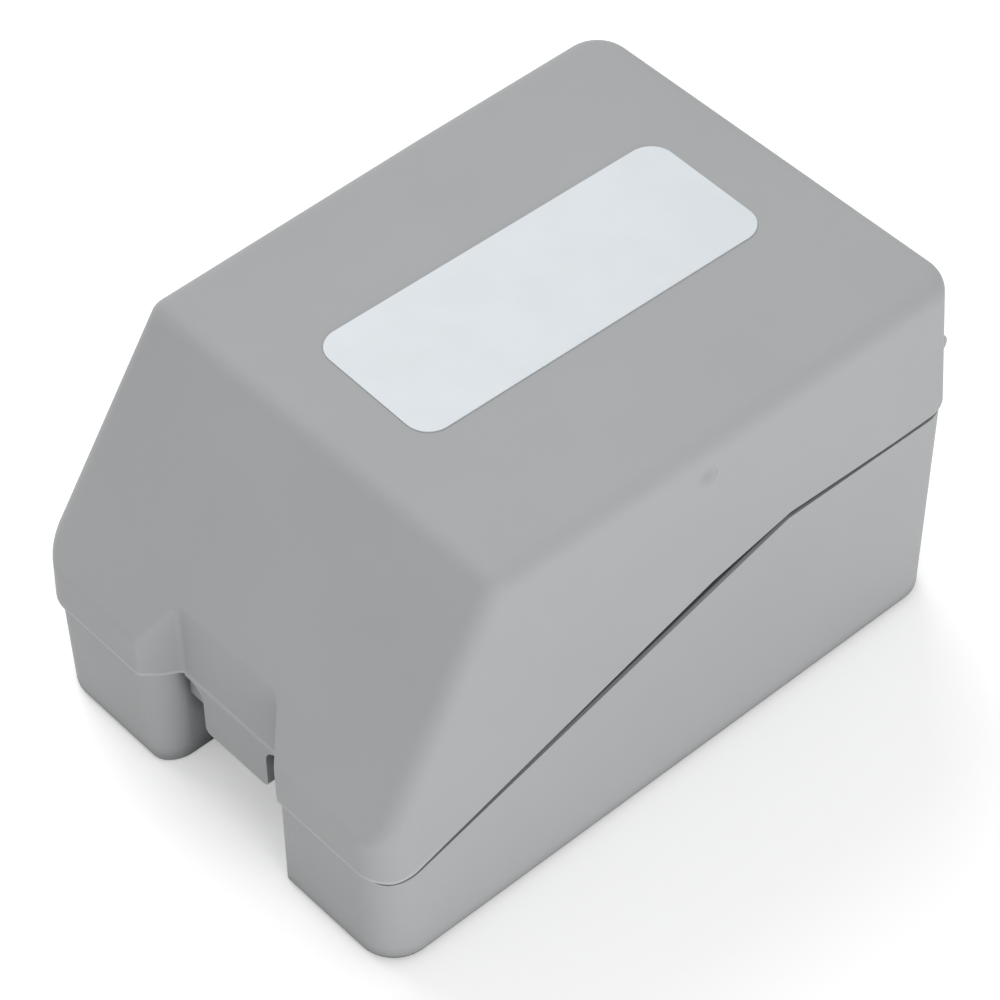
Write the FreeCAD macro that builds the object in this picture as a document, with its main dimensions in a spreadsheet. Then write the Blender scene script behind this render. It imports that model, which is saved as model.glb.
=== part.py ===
import FreeCAD, Part
import Sketcher
import math
import os
import re
from FreeCAD import Placement, Rotation, Vector

# A precision fibre cleaver in its hinged hard case, in millimetres.
# X runs across the case, -Y is its front with the latch, +Y its back with the hinge, +Z is up.
# The origin is under the middle of the case, on the face that it stands on.

doc = FreeCAD.newDocument("fibre_cleaver")

# ---------------------------------------------------------------- driving dimensions
SIZES = (
    # case
    ("case_width", 90.5, "lid width at the seam"),
    ("case_length", 130.0, "lid length at the seam"),
    ("case_height", 75.1, "height over the lid"),
    ("base_reveal", 0.35, "lid stands out from the base at the back seam"),
    ("base_draft", 0.92, "draft of the base walls, degrees"),
    ("lid_draft", 2.85, "draft of the lid walls from the seam, degrees"),
    ("front_seam", 22.6, "height of the seam at the front"),
    ("back_seam", 46.3, "height of the seam at the back"),
    ("seam_foot", 3.0, "flat run of the seam behind the front face"),
    ("seam_rest", 40.6, "flat run of the seam before the back face"),
    ("seam_gap", 0.15, "gap between the rims at the front"),
    ("slope_gap", 2.6, "gap between the rims high on the slope"),
    ("back_gap", 0.75, "gap between the rims at the back"),
    ("rest_gap", 1.55, "gap between the rims where the slope ends"),
    ("gap_fade", 17.5, "run over which the gap closes before the flat seam"),
    ("gap_tail", 16.0, "run of the narrow gap at the back"),
    ("rim_edge", 0.6, "broken edge of the base rim"),
    ("rib_thick", 1.0, "locating ribs inside the base rim"),
    ("rib_height", 3.4, "locating ribs above the base rim"),
    ("rib_root", 3.0, "locating ribs below the base rim"),
    ("rib_end", 10.0, "locating ribs from the ends of the case"),
    ("band_height", 8.7, "upright band of the lid under its sloped front"),
    ("slope_run", 27.2, "level run of the sloped front"),
    ("back_lean", 0.8, "lean of the lid's back wall"),
    ("wall_thick", 2.2, "wall of both shells"),
    ("corner_radius", 7.2, "upright corners"),
    ("rim_radius", 3.8, "roundover of the lid"),
    ("foot_radius", 1.4, "roundover under the base"),
    # finger notch and latch
    ("notch_width", 28.8, "finger notch between its straight walls"),
    ("notch_round", 6.0, "outer corners of the notch in the base"),
    ("lid_recess", 5.8, "depth of the notch in the lid"),
    ("recess_mouth", 36.0, "notch in the lid at its lip"),
    ("recess_floor", 25.6, "notch in the lid at its floor"),
    ("recess_lip", 1.6, "roundover of the lid's notch at its lip"),
    ("recess_root", 2.0, "fillet of the lid's notch at its floor"),
    ("finger_depth", 14.0, "depth of the notch under the latch tab"),
    ("finger_rise", 6.0, "height of the deep part of the notch"),
    ("tab_width", 16.4, "latch tab"),
    ("tab_length", 10.4, "latch tab below the lid"),
    ("tab_thick", 1.6, "latch tab"),
    ("tab_shoulder", 3.4, "fillet between the lid and the tab"),
    ("tab_round", 1.2, "lower corners of the tab"),
    ("tab_root", 3.0, "tab overlaps the lid above the seam"),
    ("tab_gap", 0.3, "gap behind the latch tab"),
    ("snap_size", 0.55, "snap ridge on the back of the tab"),
    ("snap_low", 0.6, "snap ridge from the tip of the tab"),
    ("snap_peak", 1.3, "height of its crest"),
    ("snap_top", 1.7, "height of its top"),
    ("snap_inset", 2.5, "snap ridge from the sides of the tab"),
    ("catch_lean", 1.2, "lean of the finger space under the catch"),
    ("snap_room", 1.7, "room over the snap ridge in its groove"),
    # case hinge
    ("hinge_back", 4.8, "hinge axis behind the back face"),
    ("hinge_rise", 1.6, "hinge axis over the back seam"),
    ("hinge_radius", 2.5, "hinge knuckles"),
    ("hinge_span", 70.0, "length of the hinge"),
    ("knuckle_length", 17.5, "each outer knuckle"),
    ("hinge_pin_dia", 2.4, "hinge pin"),
    ("side_gap", 0.3, "gap beside turning pieces"),
    ("running_gap", 0.05, "radial gap of turning and sliding fits"),
    # label and moulding mark
    ("label_length", 74.8, "label plate"),
    ("label_width", 28.6, "label plate"),
    ("label_round", 4.6, "label plate corners"),
    ("label_thick", 0.2, "label plate"),
    ("label_side", -1.3, "label plate from the middle, across"),
    ("label_back", 11.9, "label plate from the middle, along"),
    ("label_turn", -1.2, "label plate is stuck on slightly turned, degrees"),
    ("mark_dia", 4.0, "moulding mark on the right side"),
    ("mark_depth", 0.2, "moulding mark"),
    ("mark_drop", 6.4, "moulding mark below the top"),
    ("mark_place", 5.9, "moulding mark from the middle, along"),
    # cradle
    ("cradle_floor", 2.6, "cradle plate"),
    ("cradle_gap", 1.9, "gap round the cradle"),
    ("cradle_front", 0.9, "gap between the cradle and the finger space"),
    ("fence_height", 7.0, "fence round the cleaver"),
    ("fence_thick", 1.8, "fence round the cleaver"),
    ("fence_gap", 0.4, "gap between fence and cleaver"),
    ("fence_side", 3.9, "fence from the sides of the cradle"),
    ("fence_back", 5.6, "fence from the back of the cradle"),
    ("fence_cut", 30.0, "finger cut-outs in the fence"),
    # cleaver body
    ("body_height", 25.0, "cleaver body"),
    ("body_round", 3.0, "cleaver body corners"),
    ("top_edge", 0.8, "broken edge round the top of the body"),
    ("plate_thick", 2.5, "bottom plate"),
    ("pad_foot_size", 9.0, "rubber feet"),
    ("pad_foot_cut", 2.4, "cut corners of the rubber feet"),
    ("pad_foot_height", 1.5, "rubber feet"),
    ("foot_inset", 8.0, "rubber feet and screws from the edges"),
    ("screw_dia", 4.0, "socket screws, heads flush"),
    ("screw_reach", 6.0, "machine screws into the body"),
    ("screw_inset", 15.0, "bottom screws from the ends"),
    ("arm_inset", 8.0, "arm pivot from the far side of the body"),
    ("fibre_rise", 2.0, "fibre line over the body"),
    # carriage
    ("carriage_length", 24.0, "carriage along its travel"),
    ("carriage_width", 20.0, "carriage across"),
    ("carriage_inset", 4.0, "carriage behind the user's side at rest"),
    ("channel_gap", 0.8, "gap beside the carriage"),
    ("end_wall", 14.0, "wall of the body behind the channel"),
    ("carriage_drop", 0.5, "carriage top under the body top"),
    ("rail_width", 8.0, "guide rail"),
    ("rail_height", 4.0, "guide rail"),
    ("rail_inset", 1.0, "guide rail from the end of the body"),
    ("rail_screw_side", 6.0, "outer rail screw from the end of the body"),
    ("rail_screw_far", 5.0, "inner rail screw from the end of the channel"),
    ("carriage_lift", 1.0, "carriage over the floor of the channel"),
    ("blade_dia", 20.0, "blade wheel"),
    ("blade_thick", 1.2, "blade wheel"),
    ("blade_slot", 2.4, "slot for the blade wheel"),
    ("axle_dia", 4.0, "blade axle"),
    ("lock_head", 7.0, "blade lock screw head"),
    ("lock_depth", 2.0, "blade lock screw head"),
    ("axle_inset", 0.5, "end of the blade axle inside the carriage"),
    ("height_side", 4.5, "height screw from the end of the carriage"),
    ("height_back", 4.2, "height screw from the back of the carriage"),
    ("height_depth", 9.0, "hole of the height screw"),
    ("height_low", 0.4, "height screw below the top of its hole"),
    ("access_dia", 9.0, "access bore to the blade lock screw"),
    ("knob_length", 8.0, "carriage knob"),
    ("knob_width", 14.0, "carriage knob"),
    ("knob_rise", 7.0, "carriage knob over the bottom of the body"),
    ("knob_round", 1.2, "outer corners of the carriage knob"),
    ("knob_height", 12.0, "carriage knob"),
    # pads
    ("pad_length", 10.0, "clamp pads across the fibre"),
    ("pad_width", 4.0, "clamp pads along the fibre"),
    ("pad_thick", 0.8, "clamp pads"),
    ("pad_spacing", 4.4, "gap between the clamp pads"),
    ("pad_seat", 0.8, "clamp pads sunk into the arm"),
    ("holder_reach", 5.5, "pad holders past the channel"),
    ("holder_side", 1.5, "pad holders beside the pads"),
    ("holder_round", 0.8, "corners of the pad holders"),
    ("head_across", 3.6, "small hexagon heads across the corners"),
    ("head_thick", 0.7, "small hexagon heads"),
    ("holder_screw_place", 2.4, "holder screws from the channel"),
    ("clamp_gap", 0.2, "gap between closed pads"),
    # clamp arm
    ("arm_width", 32.0, "clamp arm along the fibre"),
    ("arm_reach", 44.0, "clamp arm from pivot to tip"),
    ("arm_pivot", 32.0, "arm pivot behind the fibre"),
    ("arm_pivot_rise", 4.0, "arm pivot over the body"),
    ("arm_thick", 8.8, "clamp arm"),
    ("arm_edge", 1.0, "rounded ends of the clamp arm"),
    ("nose_run", 9.0, "lowered nose of the clamp arm"),
    ("nose_low", 3.4, "drop of the nose at its shoulder"),
    ("nose_drop", 4.8, "drop of the nose at its tip"),
    ("nose_cut", 1.5, "cut corner of the nose"),
    ("heel_cut", 3.0, "cut corner over the pivot"),
    ("pad_proud", 0.2, "clamp pads stand out of the arm"),
    ("arm_barrel", 3.6, "clamp arm barrel radius"),
    ("arm_pin_dia", 3.0, "arm pin"),
    ("lug_thick", 3.7, "arm lugs"),
    ("lug_foot", 1.4, "arm lugs in front of the barrel"),
    ("lug_over", 0.9, "arm lugs round the barrel"),
    ("magnet_size", 4.0, "closing magnets"),
    ("magnet_inset", 0.7, "closing magnets from the edges of the arm"),
    ("magnet_thick", 2.0, "closing magnets"),
    ("magnet_gap", 0.3, "gap between closed magnets"),
    ("spring_width", 8.0, "arm spring"),
    # anvil
    ("spring_side", 5.0, "arm spring from the side of the arm"),
    ("spring_low", 0.4, "arm spring inside the barrel"),
    ("window_end", 5.0, "slot in the arm in front of the fibre"),
    ("window_heel", 4.2, "slot in the arm behind the anvil pivot"),
    ("anvil_width", 3.0, "anvil lever"),
    ("anvil_gap", 0.3, "gap beside the anvil lever"),
    ("anvil_reach", 19.0, "anvil lever from pivot to fibre"),
    ("anvil_pin_dia", 2.0, "anvil pin"),
    ("anvil_rise", 0.8, "anvil tip over the fibre"),
    ("tip_thick", 1.0, "anvil tip"),
    ("tip_length", 4.0, "anvil tip along the lever"),
    ("tip_width", 2.8, "anvil tip across the lever"),
    ("button_length", 8.0, "anvil button"),
    ("button_edge", 0.7, "rounded ends of the anvil button"),
    ("anvil_pin_end", 4.0, "anvil pin beside its slot"),
    ("button_rise", 2.0, "anvil button over the arm"),
    # fibre guide
    ("guide_length", 20.0, "fibre guide along the fibre"),
    ("guide_inset", 1.0, "fibre guide from the left end of the body"),
    ("guide_gap", 1.0, "gap between the arm and the fibre guide"),
    ("guide_hole", 4.0, "sinks for the guide screws"),
    ("guide_sink_depth", 1.2, "sinks for the guide screws"),
    ("guide_screw_side", 3.6, "guide screws from the side of the guide"),
    ("guide_screw_end", 2.6, "guide screws from the ends of the guide"),
    ("flap_lug", 2.2, "lugs of the guide flap"),
    ("guide_rise", 0.5, "fibre guide over the fibre line"),
    ("flap_gap", 0.2, "gap under the guide flap"),
    ("flap_set", 0.4, "guide flap barrel from the end of the guide"),
    ("flap_nose", 1.5, "guide flap past the end of the guide"),
    ("flap_lean", 2.0, "sloped end of the guide flap"),
    ("guide_front", 9.6, "fibre guide in front of the fibre"),
    ("guide_back", 17.0, "fibre guide behind the fibre"),
    ("guide_sink", 2.5, "fibre guide sunk into the body"),
    ("groove_width", 1.4, "groove for the fibre"),
    ("flap_width", 14.0, "guide flap along the fibre"),
    ("flap_thick", 2.5, "guide flap"),
    ("flap_barrel", 2.0, "guide flap barrel radius"),
    ("flap_pin_dia", 1.6, "flap pin"),
    # scrap bin
    ("bin_width", 44.0, "scrap bin across"),
    ("bin_length", 32.0, "scrap bin along"),
    ("bin_front", 1.9, "scrap bin from the front of the cradle"),
    ("bin_height", 23.0, "scrap bin"),
    ("bin_wall", 1.6, "scrap bin wall"),
    ("bin_mouth", 7.0, "open mouth beside the body"),
    ("cover_thick", 1.5, "bin cover"),
    ("bin_round", 2.4, "scrap bin corners"),
    ("bin_lug_side", 2.4, "bin lugs from the sides of the bin"),
    ("cover_set", 0.6, "cover hinge from the front of the bin"),
    ("cover_gap", 0.15, "gap under the bin cover"),
    ("cover_inset", 1.0, "bin cover from the sides of the bin"),
    ("cover_round", 1.5, "bin cover corners"),
    ("tongue_run", 3.0, "hinge tongue of the bin cover"),
    ("cover_barrel", 1.7, "bin cover barrel radius"),
    ("bin_pin_dia", 1.4, "bin cover pin"),
    ("bin_lug", 3.0, "bin lugs"),
)

sheet = doc.addObject("Spreadsheet::Sheet", "Sizes")
for row, (alias, value, note) in enumerate(SIZES, start=1):
    sheet.set("A%d" % row, alias)
    sheet.set("B%d" % row, str(value))
    sheet.setAlias("B%d" % row, alias)
    sheet.set("C%d" % row, note)
doc.recompute()
ALIASES = {alias for alias, value, note in SIZES}


def term(text):
    """Write an expression with its size names pointing at the sheet."""
    return re.sub(r"[a-z][a-z_]*", lambda m: "Sizes." + m[0] if m[0] in ALIASES else m[0], str(text))


def value(text):
    """Work out an expression, for first guesses and for choosing edges."""
    return float(sheet.evalExpression(term(text)))


def total(*terms):
    """Add up expressions in one pair of brackets."""
    return "(" + " + ".join("(%s)" % one for one in terms) + ")"


def less(first, *terms):
    """Take expressions away from the first one."""
    return "(" + " - ".join("(%s)" % one for one in (first,) + terms) + ")"


def bind(obj, **values):
    for prop, text in values.items():
        obj.setExpression(prop, term(text))


def seat(obj, x="0", y="0", z="0"):
    for axis, text in (("x", x), ("y", y), ("z", z)):
        obj.setExpression("Placement.Base." + axis, term(text))


# ---------------------------------------------------------------- sketch and body helpers
def new_body(name):
    return doc.addObject("PartDesign::Body", name)


def new_sketch(body, name, role="XY_Plane", offset="0"):
    sketch = body.newObject("Sketcher::SketchObject", name)
    plane = [f for f in body.Origin.OriginFeatures if f.Role == role][0]
    sketch.AttachmentSupport = [(plane, "")]
    sketch.MapMode = "FlatFace"
    sketch.setExpression("AttachmentOffset.Base.z", term(offset))
    return sketch


def fix_point(sketch, geometry, point, x, y):
    for kind, text in (("DistanceX", x), ("DistanceY", y)):
        index = sketch.addConstraint(Sketcher.Constraint(kind, geometry, point, value(text)))
        sketch.setExpression("Constraints[%d]" % index, term(text))


def polygon(sketch, points):
    """Draw a closed outline with every corner held by its two coordinates."""
    first = sketch.GeometryCount
    count = len(points)
    rough = [Vector(math.cos(math.tau * i / count), math.sin(math.tau * i / count), 0) for i in range(count)]
    for i in range(count):
        sketch.addGeometry(Part.LineSegment(rough[i], rough[(i + 1) % count]), False)
    for i in range(count):
        sketch.addConstraint(Sketcher.Constraint("Coincident", first + i, 2, first + (i + 1) % count, 1))
    for i, (x, y) in enumerate(points):
        fix_point(sketch, first + i, 1, x, y)
    return sketch


def rectangle(sketch, x0, x1, y0, y1):
    return polygon(sketch, ((x0, y0), (x1, y0), (x1, y1), (x0, y1)))


def circle(sketch, x, y, diameter):
    index = sketch.addGeometry(Part.Circle(Vector(1, 1, 0), Vector(0, 0, 1), 1.0), False)
    fix_point(sketch, index, 3, x, y)
    size = sketch.addConstraint(Sketcher.Constraint("Diameter", index, 2.0))
    sketch.setExpression("Constraints[%d]" % size, term(diameter))
    return sketch


def pad(body, sketch, name, length, middle=False, flip=False):
    feature = body.newObject("PartDesign::Pad", name)
    feature.Profile = sketch
    bind(feature, Length=length)
    feature.Midplane = middle
    feature.Reversed = flip
    doc.recompute()
    return feature


def pocket(body, sketch, name, length=None, flip=False):
    """Cut a sketch through the body, both ways when no length is given."""
    feature = body.newObject("PartDesign::Pocket", name)
    feature.Profile = sketch
    before = body.Shape.Volume
    if length is None:
        feature.Type = 1
        feature.Midplane = True
    else:
        bind(feature, Length=length)
        feature.Reversed = flip
    doc.recompute()
    if not body.Shape.Volume < before - 1e-6:
        raise ValueError(name + " cuts nothing")
    return feature


def edge_names(feature, test):
    return ["Edge%d" % (i + 1) for i, edge in enumerate(feature.Shape.Edges) if test(edge)]


def fillet(body, feature, name, radius, test, chamfer=False):
    doc.recompute()
    names = edge_names(feature, test)
    if not names:
        raise ValueError(name + " finds no edge")
    feature_new = body.newObject("PartDesign::Chamfer" if chamfer else "PartDesign::Fillet", name)
    feature_new.Base = (feature, names)
    if chamfer:
        bind(feature_new, Size=radius)
    else:
        bind(feature_new, Radius=radius)
    doc.recompute()
    return feature_new


def along(edge, axis, slack=0.12):
    """True for a straight edge that runs roughly along an axis."""
    chord = edge.valueAt(edge.LastParameter) - edge.valueAt(edge.FirstParameter)
    return abs(getattr(chord, axis)) > (1 - slack) * edge.Length


def middle_of(edge):
    return edge.valueAt((edge.FirstParameter + edge.LastParameter) / 2)


# ---------------------------------------------------------------- primitive helpers
def box(name, x0, x1, y0, y1, z0, z1):
    obj = doc.addObject("Part::Box", name)
    bind(obj, Length=less(x1, x0), Width=less(y1, y0), Height=less(z1, z0))
    seat(obj, x0, y0, z0)
    return obj


WAYS = {"x": Vector(1, 0, 0), "y": Vector(0, 1, 0), "z": Vector(0, 0, 1)}


def rod(name, way, x, y, z, radius, length):
    """A cylinder that starts at a point and runs along an axis."""
    obj = doc.addObject("Part::Cylinder", name)
    obj.Placement = Placement(Vector(), Rotation(Vector(0, 0, 1), WAYS[way]))
    bind(obj, Radius=radius, Height=length)
    seat(obj, x, y, z)
    return obj


def cut(name, base, *tools):
    for number, tool in enumerate(tools):
        obj = doc.addObject("Part::Cut", name if number == len(tools) - 1 else "%s_cut%d" % (name, number))
        obj.Base = base
        obj.Tool = tool
        base = obj
    return base


def fuse(name, *shapes):
    obj = doc.addObject("Part::MultiFuse", name)
    obj.Shapes = list(shapes)
    return obj


def together(name, *shapes):
    """Several separate solids that share one node."""
    obj = doc.addObject("Part::Compound", name)
    obj.Links = list(shapes)
    return obj


NODES = []


def node(obj, label):
    doc.recompute()
    obj.Label = label
    NODES.append(obj)
    return obj


# ---------------------------------------------------------------- shared places
HALF_WIDTH = "case_width / 2"
HALF_LENGTH = "case_length / 2"
BASE_HALF_X = "(case_width / 2 - base_reveal - back_seam * tan(base_draft))"
BASE_HALF_Y = "(case_length / 2 - base_reveal - back_seam * tan(base_draft))"
FRONT = "(-case_length / 2)"
SEAM_START = "(-case_length / 2 + seam_foot)"
SEAM_END = "(case_length / 2 - seam_rest)"
SLOPE_BASE = "(front_seam + band_height)"
SLOPE_TOP = "(-case_length / 2 + slope_run)"
SEAM_SLOPE = "((back_seam - front_seam) / (case_length - seam_foot - seam_rest))"
SEAM_ANGLE = "atan((back_seam - front_seam) / (case_length - seam_foot - seam_rest))"
SLOPE_ANGLE = "atan((case_height - front_seam - band_height) / slope_run)"
HINGE_Y = "(case_length / 2 + hinge_back)"
HINGE_Z = "(back_seam + hinge_rise)"
SEAT_Z = "(wall_thick + cradle_floor)"
PLATE_Z = "(wall_thick + cradle_floor + pad_foot_height)"
BODY_Z = total(PLATE_Z, "plate_thick")
BODY_TOP = total(BODY_Z, "body_height")
FIBRE_Z = total(BODY_TOP, "fibre_rise")
CRADLE_X = total(BASE_HALF_X, "wall_thick * tan(base_draft)", "-wall_thick", "-cradle_gap")
CRADLE_Y0 = total(FRONT, "finger_depth", "wall_thick", "cradle_front")
CRADLE_Y1 = total(BASE_HALF_Y, "wall_thick * tan(base_draft)", "-wall_thick", "-cradle_gap")
BODY_X1 = less(CRADLE_X, "fence_side", "fence_thick", "fence_gap")
BODY_X0 = "(-%s)" % BODY_X1
BIN_Y0 = total(CRADLE_Y0, "bin_front")
BODY_Y0 = total(BIN_Y0, "bin_length")
BODY_Y1 = less(CRADLE_Y1, "fence_back", "fence_thick", "fence_gap")
GUIDE_Y1 = less(BODY_Y1, "guide_inset")
GUIDE_Y0 = less(GUIDE_Y1, "guide_length")
ARM_Y1 = less(GUIDE_Y0, "guide_gap")
ARM_Y0 = less(ARM_Y1, "arm_width")
SLOT_Y = less(ARM_Y1, "arm_width / 2")
ARM_X = less(BODY_X1, "arm_inset")
FIBRE_X = less(ARM_X, "arm_pivot")
CARRIAGE_X = total(BODY_X0, "carriage_inset")
BLADE_X = total(CARRIAGE_X, "carriage_length / 2")
BLADE_Z = less(FIBRE_Z, "blade_dia / 2")
ARM_Z = total(BODY_TOP, "arm_pivot_rise")
ARM_BOTTOM = total(FIBRE_Z, "clamp_gap", "pad_thick", "pad_proud")
ARM_TOP = total(ARM_BOTTOM, "arm_thick")


# ---------------------------------------------------------------- case shells
def notch_outline(sketch, front, back, grow):
    """Plan of the finger notch in the base with its rounded outer corners, grown on every side."""
    edge_x = "(notch_width / 2 + notch_round)"
    wall_x = total("notch_width / 2", grow)
    round_r = less("notch_round", grow)
    mouth = less(front, "10")
    lip = total(front, grow)
    centre = total(front, "notch_round")
    floor = total(back, grow)
    minus = "-" + edge_x
    minus_wall = "-" + wall_x
    corners = (
        (minus, mouth),
        (minus, lip),
        (minus_wall, centre),
        (minus_wall, floor),
        (wall_x, floor),
        (wall_x, centre),
        (edge_x, lip),
        (edge_x, mouth),
    )
    spots = [Vector(value(x), value(y), 0) for x, y in corners]
    radius = value(round_r)
    first = sketch.GeometryCount
    for i in range(8):
        if i in (1, 5):
            side = -1 if i == 1 else 1
            ring = Part.Circle(Vector(side * value(edge_x), value(centre), 0), Vector(0, 0, 1), radius)
            start = -math.pi / 2 if i == 1 else math.pi
            sketch.addGeometry(Part.ArcOfCircle(ring, start, start + math.pi / 2), False)
        else:
            sketch.addGeometry(Part.LineSegment(spots[i], spots[(i + 1) % 8]), False)
    for i in range(8):
        sketch.addConstraint(Sketcher.Constraint("Coincident", first + i, 2, first + (i + 1) % 8, 1))
    for i in (1, 5):
        size = sketch.addConstraint(Sketcher.Constraint("Radius", first + i, radius))
        sketch.setExpression("Constraints[%d]" % size, term(round_r))
    for i, (x, y) in enumerate(corners):
        fix_point(sketch, first + i, 1, x, y)


def recess_outline(sketch, grow):
    """Plan of the notch in the lid, whose walls slant inwards, grown on every side."""
    floor = total(FRONT, "lid_recess", grow)
    slant = "((recess_mouth - recess_floor) / 2 / lid_recess)"
    side = total("recess_mouth / 2", "%s * sqrt(1 + %s * %s)" % (grow, slant, slant))
    inner = less(side, "(lid_recess + %s) * %s" % (grow, slant))
    outer = total(side, "10 * " + slant)
    polygon(sketch, (
        ("-" + outer, less(FRONT, "10")),
        ("-" + inner, floor),
        (inner, floor),
        (outer, less(FRONT, "10")),
    ))


def side_planes(sketch, half, low, high):
    """Two mirrored outlines outside the drafted side walls."""
    for sign in ("", "-"):
        polygon(sketch, (
            ("%s(%s)" % (sign, less(half, "%s * tan(lid_draft)" % low)), low),
            ("%s(%s)" % (sign, less(half, "%s * tan(lid_draft)" % high)), high),
            ("%scase_width" % sign, high),
            ("%scase_width" % sign, low),
        ))


def lid_form(name, inset, open_below):
    """The outside of the lid, or with an inset the space inside its walls."""
    body = new_body(name)
    gaps = ["(0 - 8)"] * 4 if open_below else ["seam_gap", "slope_gap", "rest_gap", "back_gap"]
    side = new_sketch(body, name + "_side", "YZ_Plane")
    polygon(side, (
        (total(FRONT, inset), total("front_seam", gaps[0])),
        (total(FRONT, inset), total(SLOPE_BASE, "%s * (tan(%s) - 1 / cos(%s))" % (inset, SLOPE_ANGLE, SLOPE_ANGLE))),
        (total(SLOPE_TOP, "%s * (1 / cos(%s) - 1) / tan(%s)" % (inset, SLOPE_ANGLE, SLOPE_ANGLE)),
         less("case_height", inset)),
        (less(HALF_LENGTH, "back_lean", inset), less("case_height", inset)),
        (less(HALF_LENGTH, inset), total("back_seam", gaps[3])),
        (less(HALF_LENGTH, "gap_tail"), total("back_seam", gaps[3])),
        (SEAM_END, total("back_seam", gaps[2])),
        (less(SEAM_END, "gap_fade"), total("back_seam", "-gap_fade * " + SEAM_SLOPE, gaps[1])),
        (SEAM_START, total("front_seam", gaps[0])),
    ))
    pad(body, side, name + "_block", "case_width + 10", middle=True)
    slope = new_sketch(body, name + "_slope_sides", "XZ_Plane")
    slope.AttachmentOffset = Placement(Vector(), Rotation(Vector(1, 0, 0), 15))
    slope.setExpression("AttachmentOffset.Base.z", term(less("0", SEAM_END)))
    slope.setExpression("AttachmentOffset.Base.y", term("back_seam"))
    slope.setExpression("AttachmentOffset.Rotation.Angle", term(SEAM_ANGLE))
    side_planes(slope, less(HALF_WIDTH, inset), "(0 - 20)", "90")
    pocket(body, slope, name + "_slope_draft")
    upright = new_sketch(body, name + "_upright_sides", "XZ_Plane")
    upright.setExpression("AttachmentOffset.Base.y", term("back_seam"))
    side_planes(upright, less(HALF_WIDTH, inset), "(0 - 20)", "90")
    last = pocket(body, upright, name + "_upright_draft")
    bounds = body.Shape.BoundBox
    reach = value(HALF_WIDTH) - value("corner_radius")

    def is_corner(edge):
        spot = middle_of(edge)
        at_end = abs(spot.y - bounds.YMin) < 0.6 or spot.y > bounds.YMax - value("back_lean") - 0.6
        return edge.Length > 4 and abs(spot.x) > reach and at_end and along(edge, "z", 0.2)

    last = fillet(body, last, name + "_corners", less("corner_radius", inset), is_corner)
    if open_below:
        return body
    foot = Vector(0, value(total(FRONT, inset)), 0)
    foot.z = value(total(SLOPE_BASE, "%s * (tan(%s) - 1 / cos(%s))" % (inset, SLOPE_ANGLE, SLOPE_ANGLE)))
    rise = math.tan(math.radians(value(SLOPE_ANGLE)))

    def is_rim(edge):
        spot = middle_of(edge)
        on_top = abs(spot.z - bounds.ZMax) < 0.3
        on_slope = abs(spot.z - foot.z - (spot.y - foot.y) * rise) < 0.7
        return on_top or on_slope

    fillet(body, last, name + "_rim", "rim_radius", is_rim)
    return body


def draft_walls(body, feature, name, z):
    """Lean the upright walls outwards from the level where they start."""
    walls = ["Face%d" % (i + 1) for i, face in enumerate(feature.Shape.Faces)
             if abs(face.normalAt(0, 0).z) < 0.01]
    level = new_sketch(body, name + "_level", "XY_Plane", z)
    rectangle(level, "-5", "5", "-5", "5")
    doc.recompute()
    draft = body.newObject("PartDesign::Draft", name)
    draft.Base = (feature, walls)
    draft.NeutralPlane = (level, [""])
    bind(draft, Angle="base_draft")
    draft.Reversed = True
    doc.recompute()
    if body.Shape.Volume < feature.Shape.Volume:
        raise ValueError(name + " leans inwards")
    return draft


def base_form(name, inset, height):
    """The outside of the base, or with an inset the space inside its walls."""
    body = new_body(name)
    spread = "%s * tan(base_draft)" % inset
    half_x = total(BASE_HALF_X, spread, "-(%s)" % inset)
    half_y = total(BASE_HALF_Y, spread, "-(%s)" % inset)
    plan = new_sketch(body, name + "_plan", "XY_Plane", inset)
    rectangle(plan, "-" + half_x, half_x, "-" + half_y, half_y)
    last = pad(body, plan, name + "_block", less(height, inset))
    last = draft_walls(body, last, name + "_draft", inset)
    bounds = body.Shape.BoundBox
    last = fillet(body, last, name + "_corners", less("corner_radius", inset),
                  lambda edge: along(edge, "z") and edge.Length > bounds.ZLength / 2)
    if inset == "0":
        fillet(body, last, name + "_foot", "foot_radius",
               lambda edge: abs(edge.BoundBox.ZMax - bounds.ZMin) < 0.01)
    return body


def trim_seam(body, name):
    above = new_sketch(body, name + "_seam", "YZ_Plane")
    polygon(above, (
        ("-case_length", "front_seam"),
        (SEAM_START, "front_seam"),
        (SEAM_END, "back_seam"),
        ("case_length", "back_seam"),
        ("case_length", "case_height + 20"),
        ("-case_length", "case_height + 20"),
    ))
    pocket(body, above, name + "_seam_cut")


def cut_notch(body, name, front, back, grow):
    plan = new_sketch(body, name + "_notch", "XY_Plane")
    notch_outline(plan, front, back, grow)
    pocket(body, plan, name + "_notch_cut")


BASE_FRONT = "(-case_length / 2 + base_reveal + 0.4)"
CATCH_Y = total(FRONT, "lid_recess", "tab_thick", "tab_gap")
LEDGE_Z = "(front_seam - tab_length + snap_top + snap_room)"


def cut_finger_space(body, name, grow):
    """Deep space for a finger under the catch ledge."""
    under = new_sketch(body, name + "_finger", "YZ_Plane")
    polygon(under, (
        ("-case_length", "-20"),
        (total(FRONT, "finger_depth", grow), "-20"),
        (total(FRONT, "finger_depth", grow), total("finger_rise", grow)),
        (total(CATCH_Y, "catch_lean", grow), total(LEDGE_Z, grow)),
        ("-case_length", total(LEDGE_Z, grow)),
    ))
    feature = body.newObject("PartDesign::Pocket", name + "_finger_cut")
    feature.Profile = under
    bind(feature, Length=total("notch_width", "2 * %s" % grow))
    feature.Midplane = True
    doc.recompute()


def seam_height(y):
    """Height of the base rim at a place along the case."""
    run = min(max(y - value(SEAM_START), 0.0), value(SEAM_END) - value(SEAM_START))
    return value("front_seam") + run * value(SEAM_SLOPE)


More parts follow.
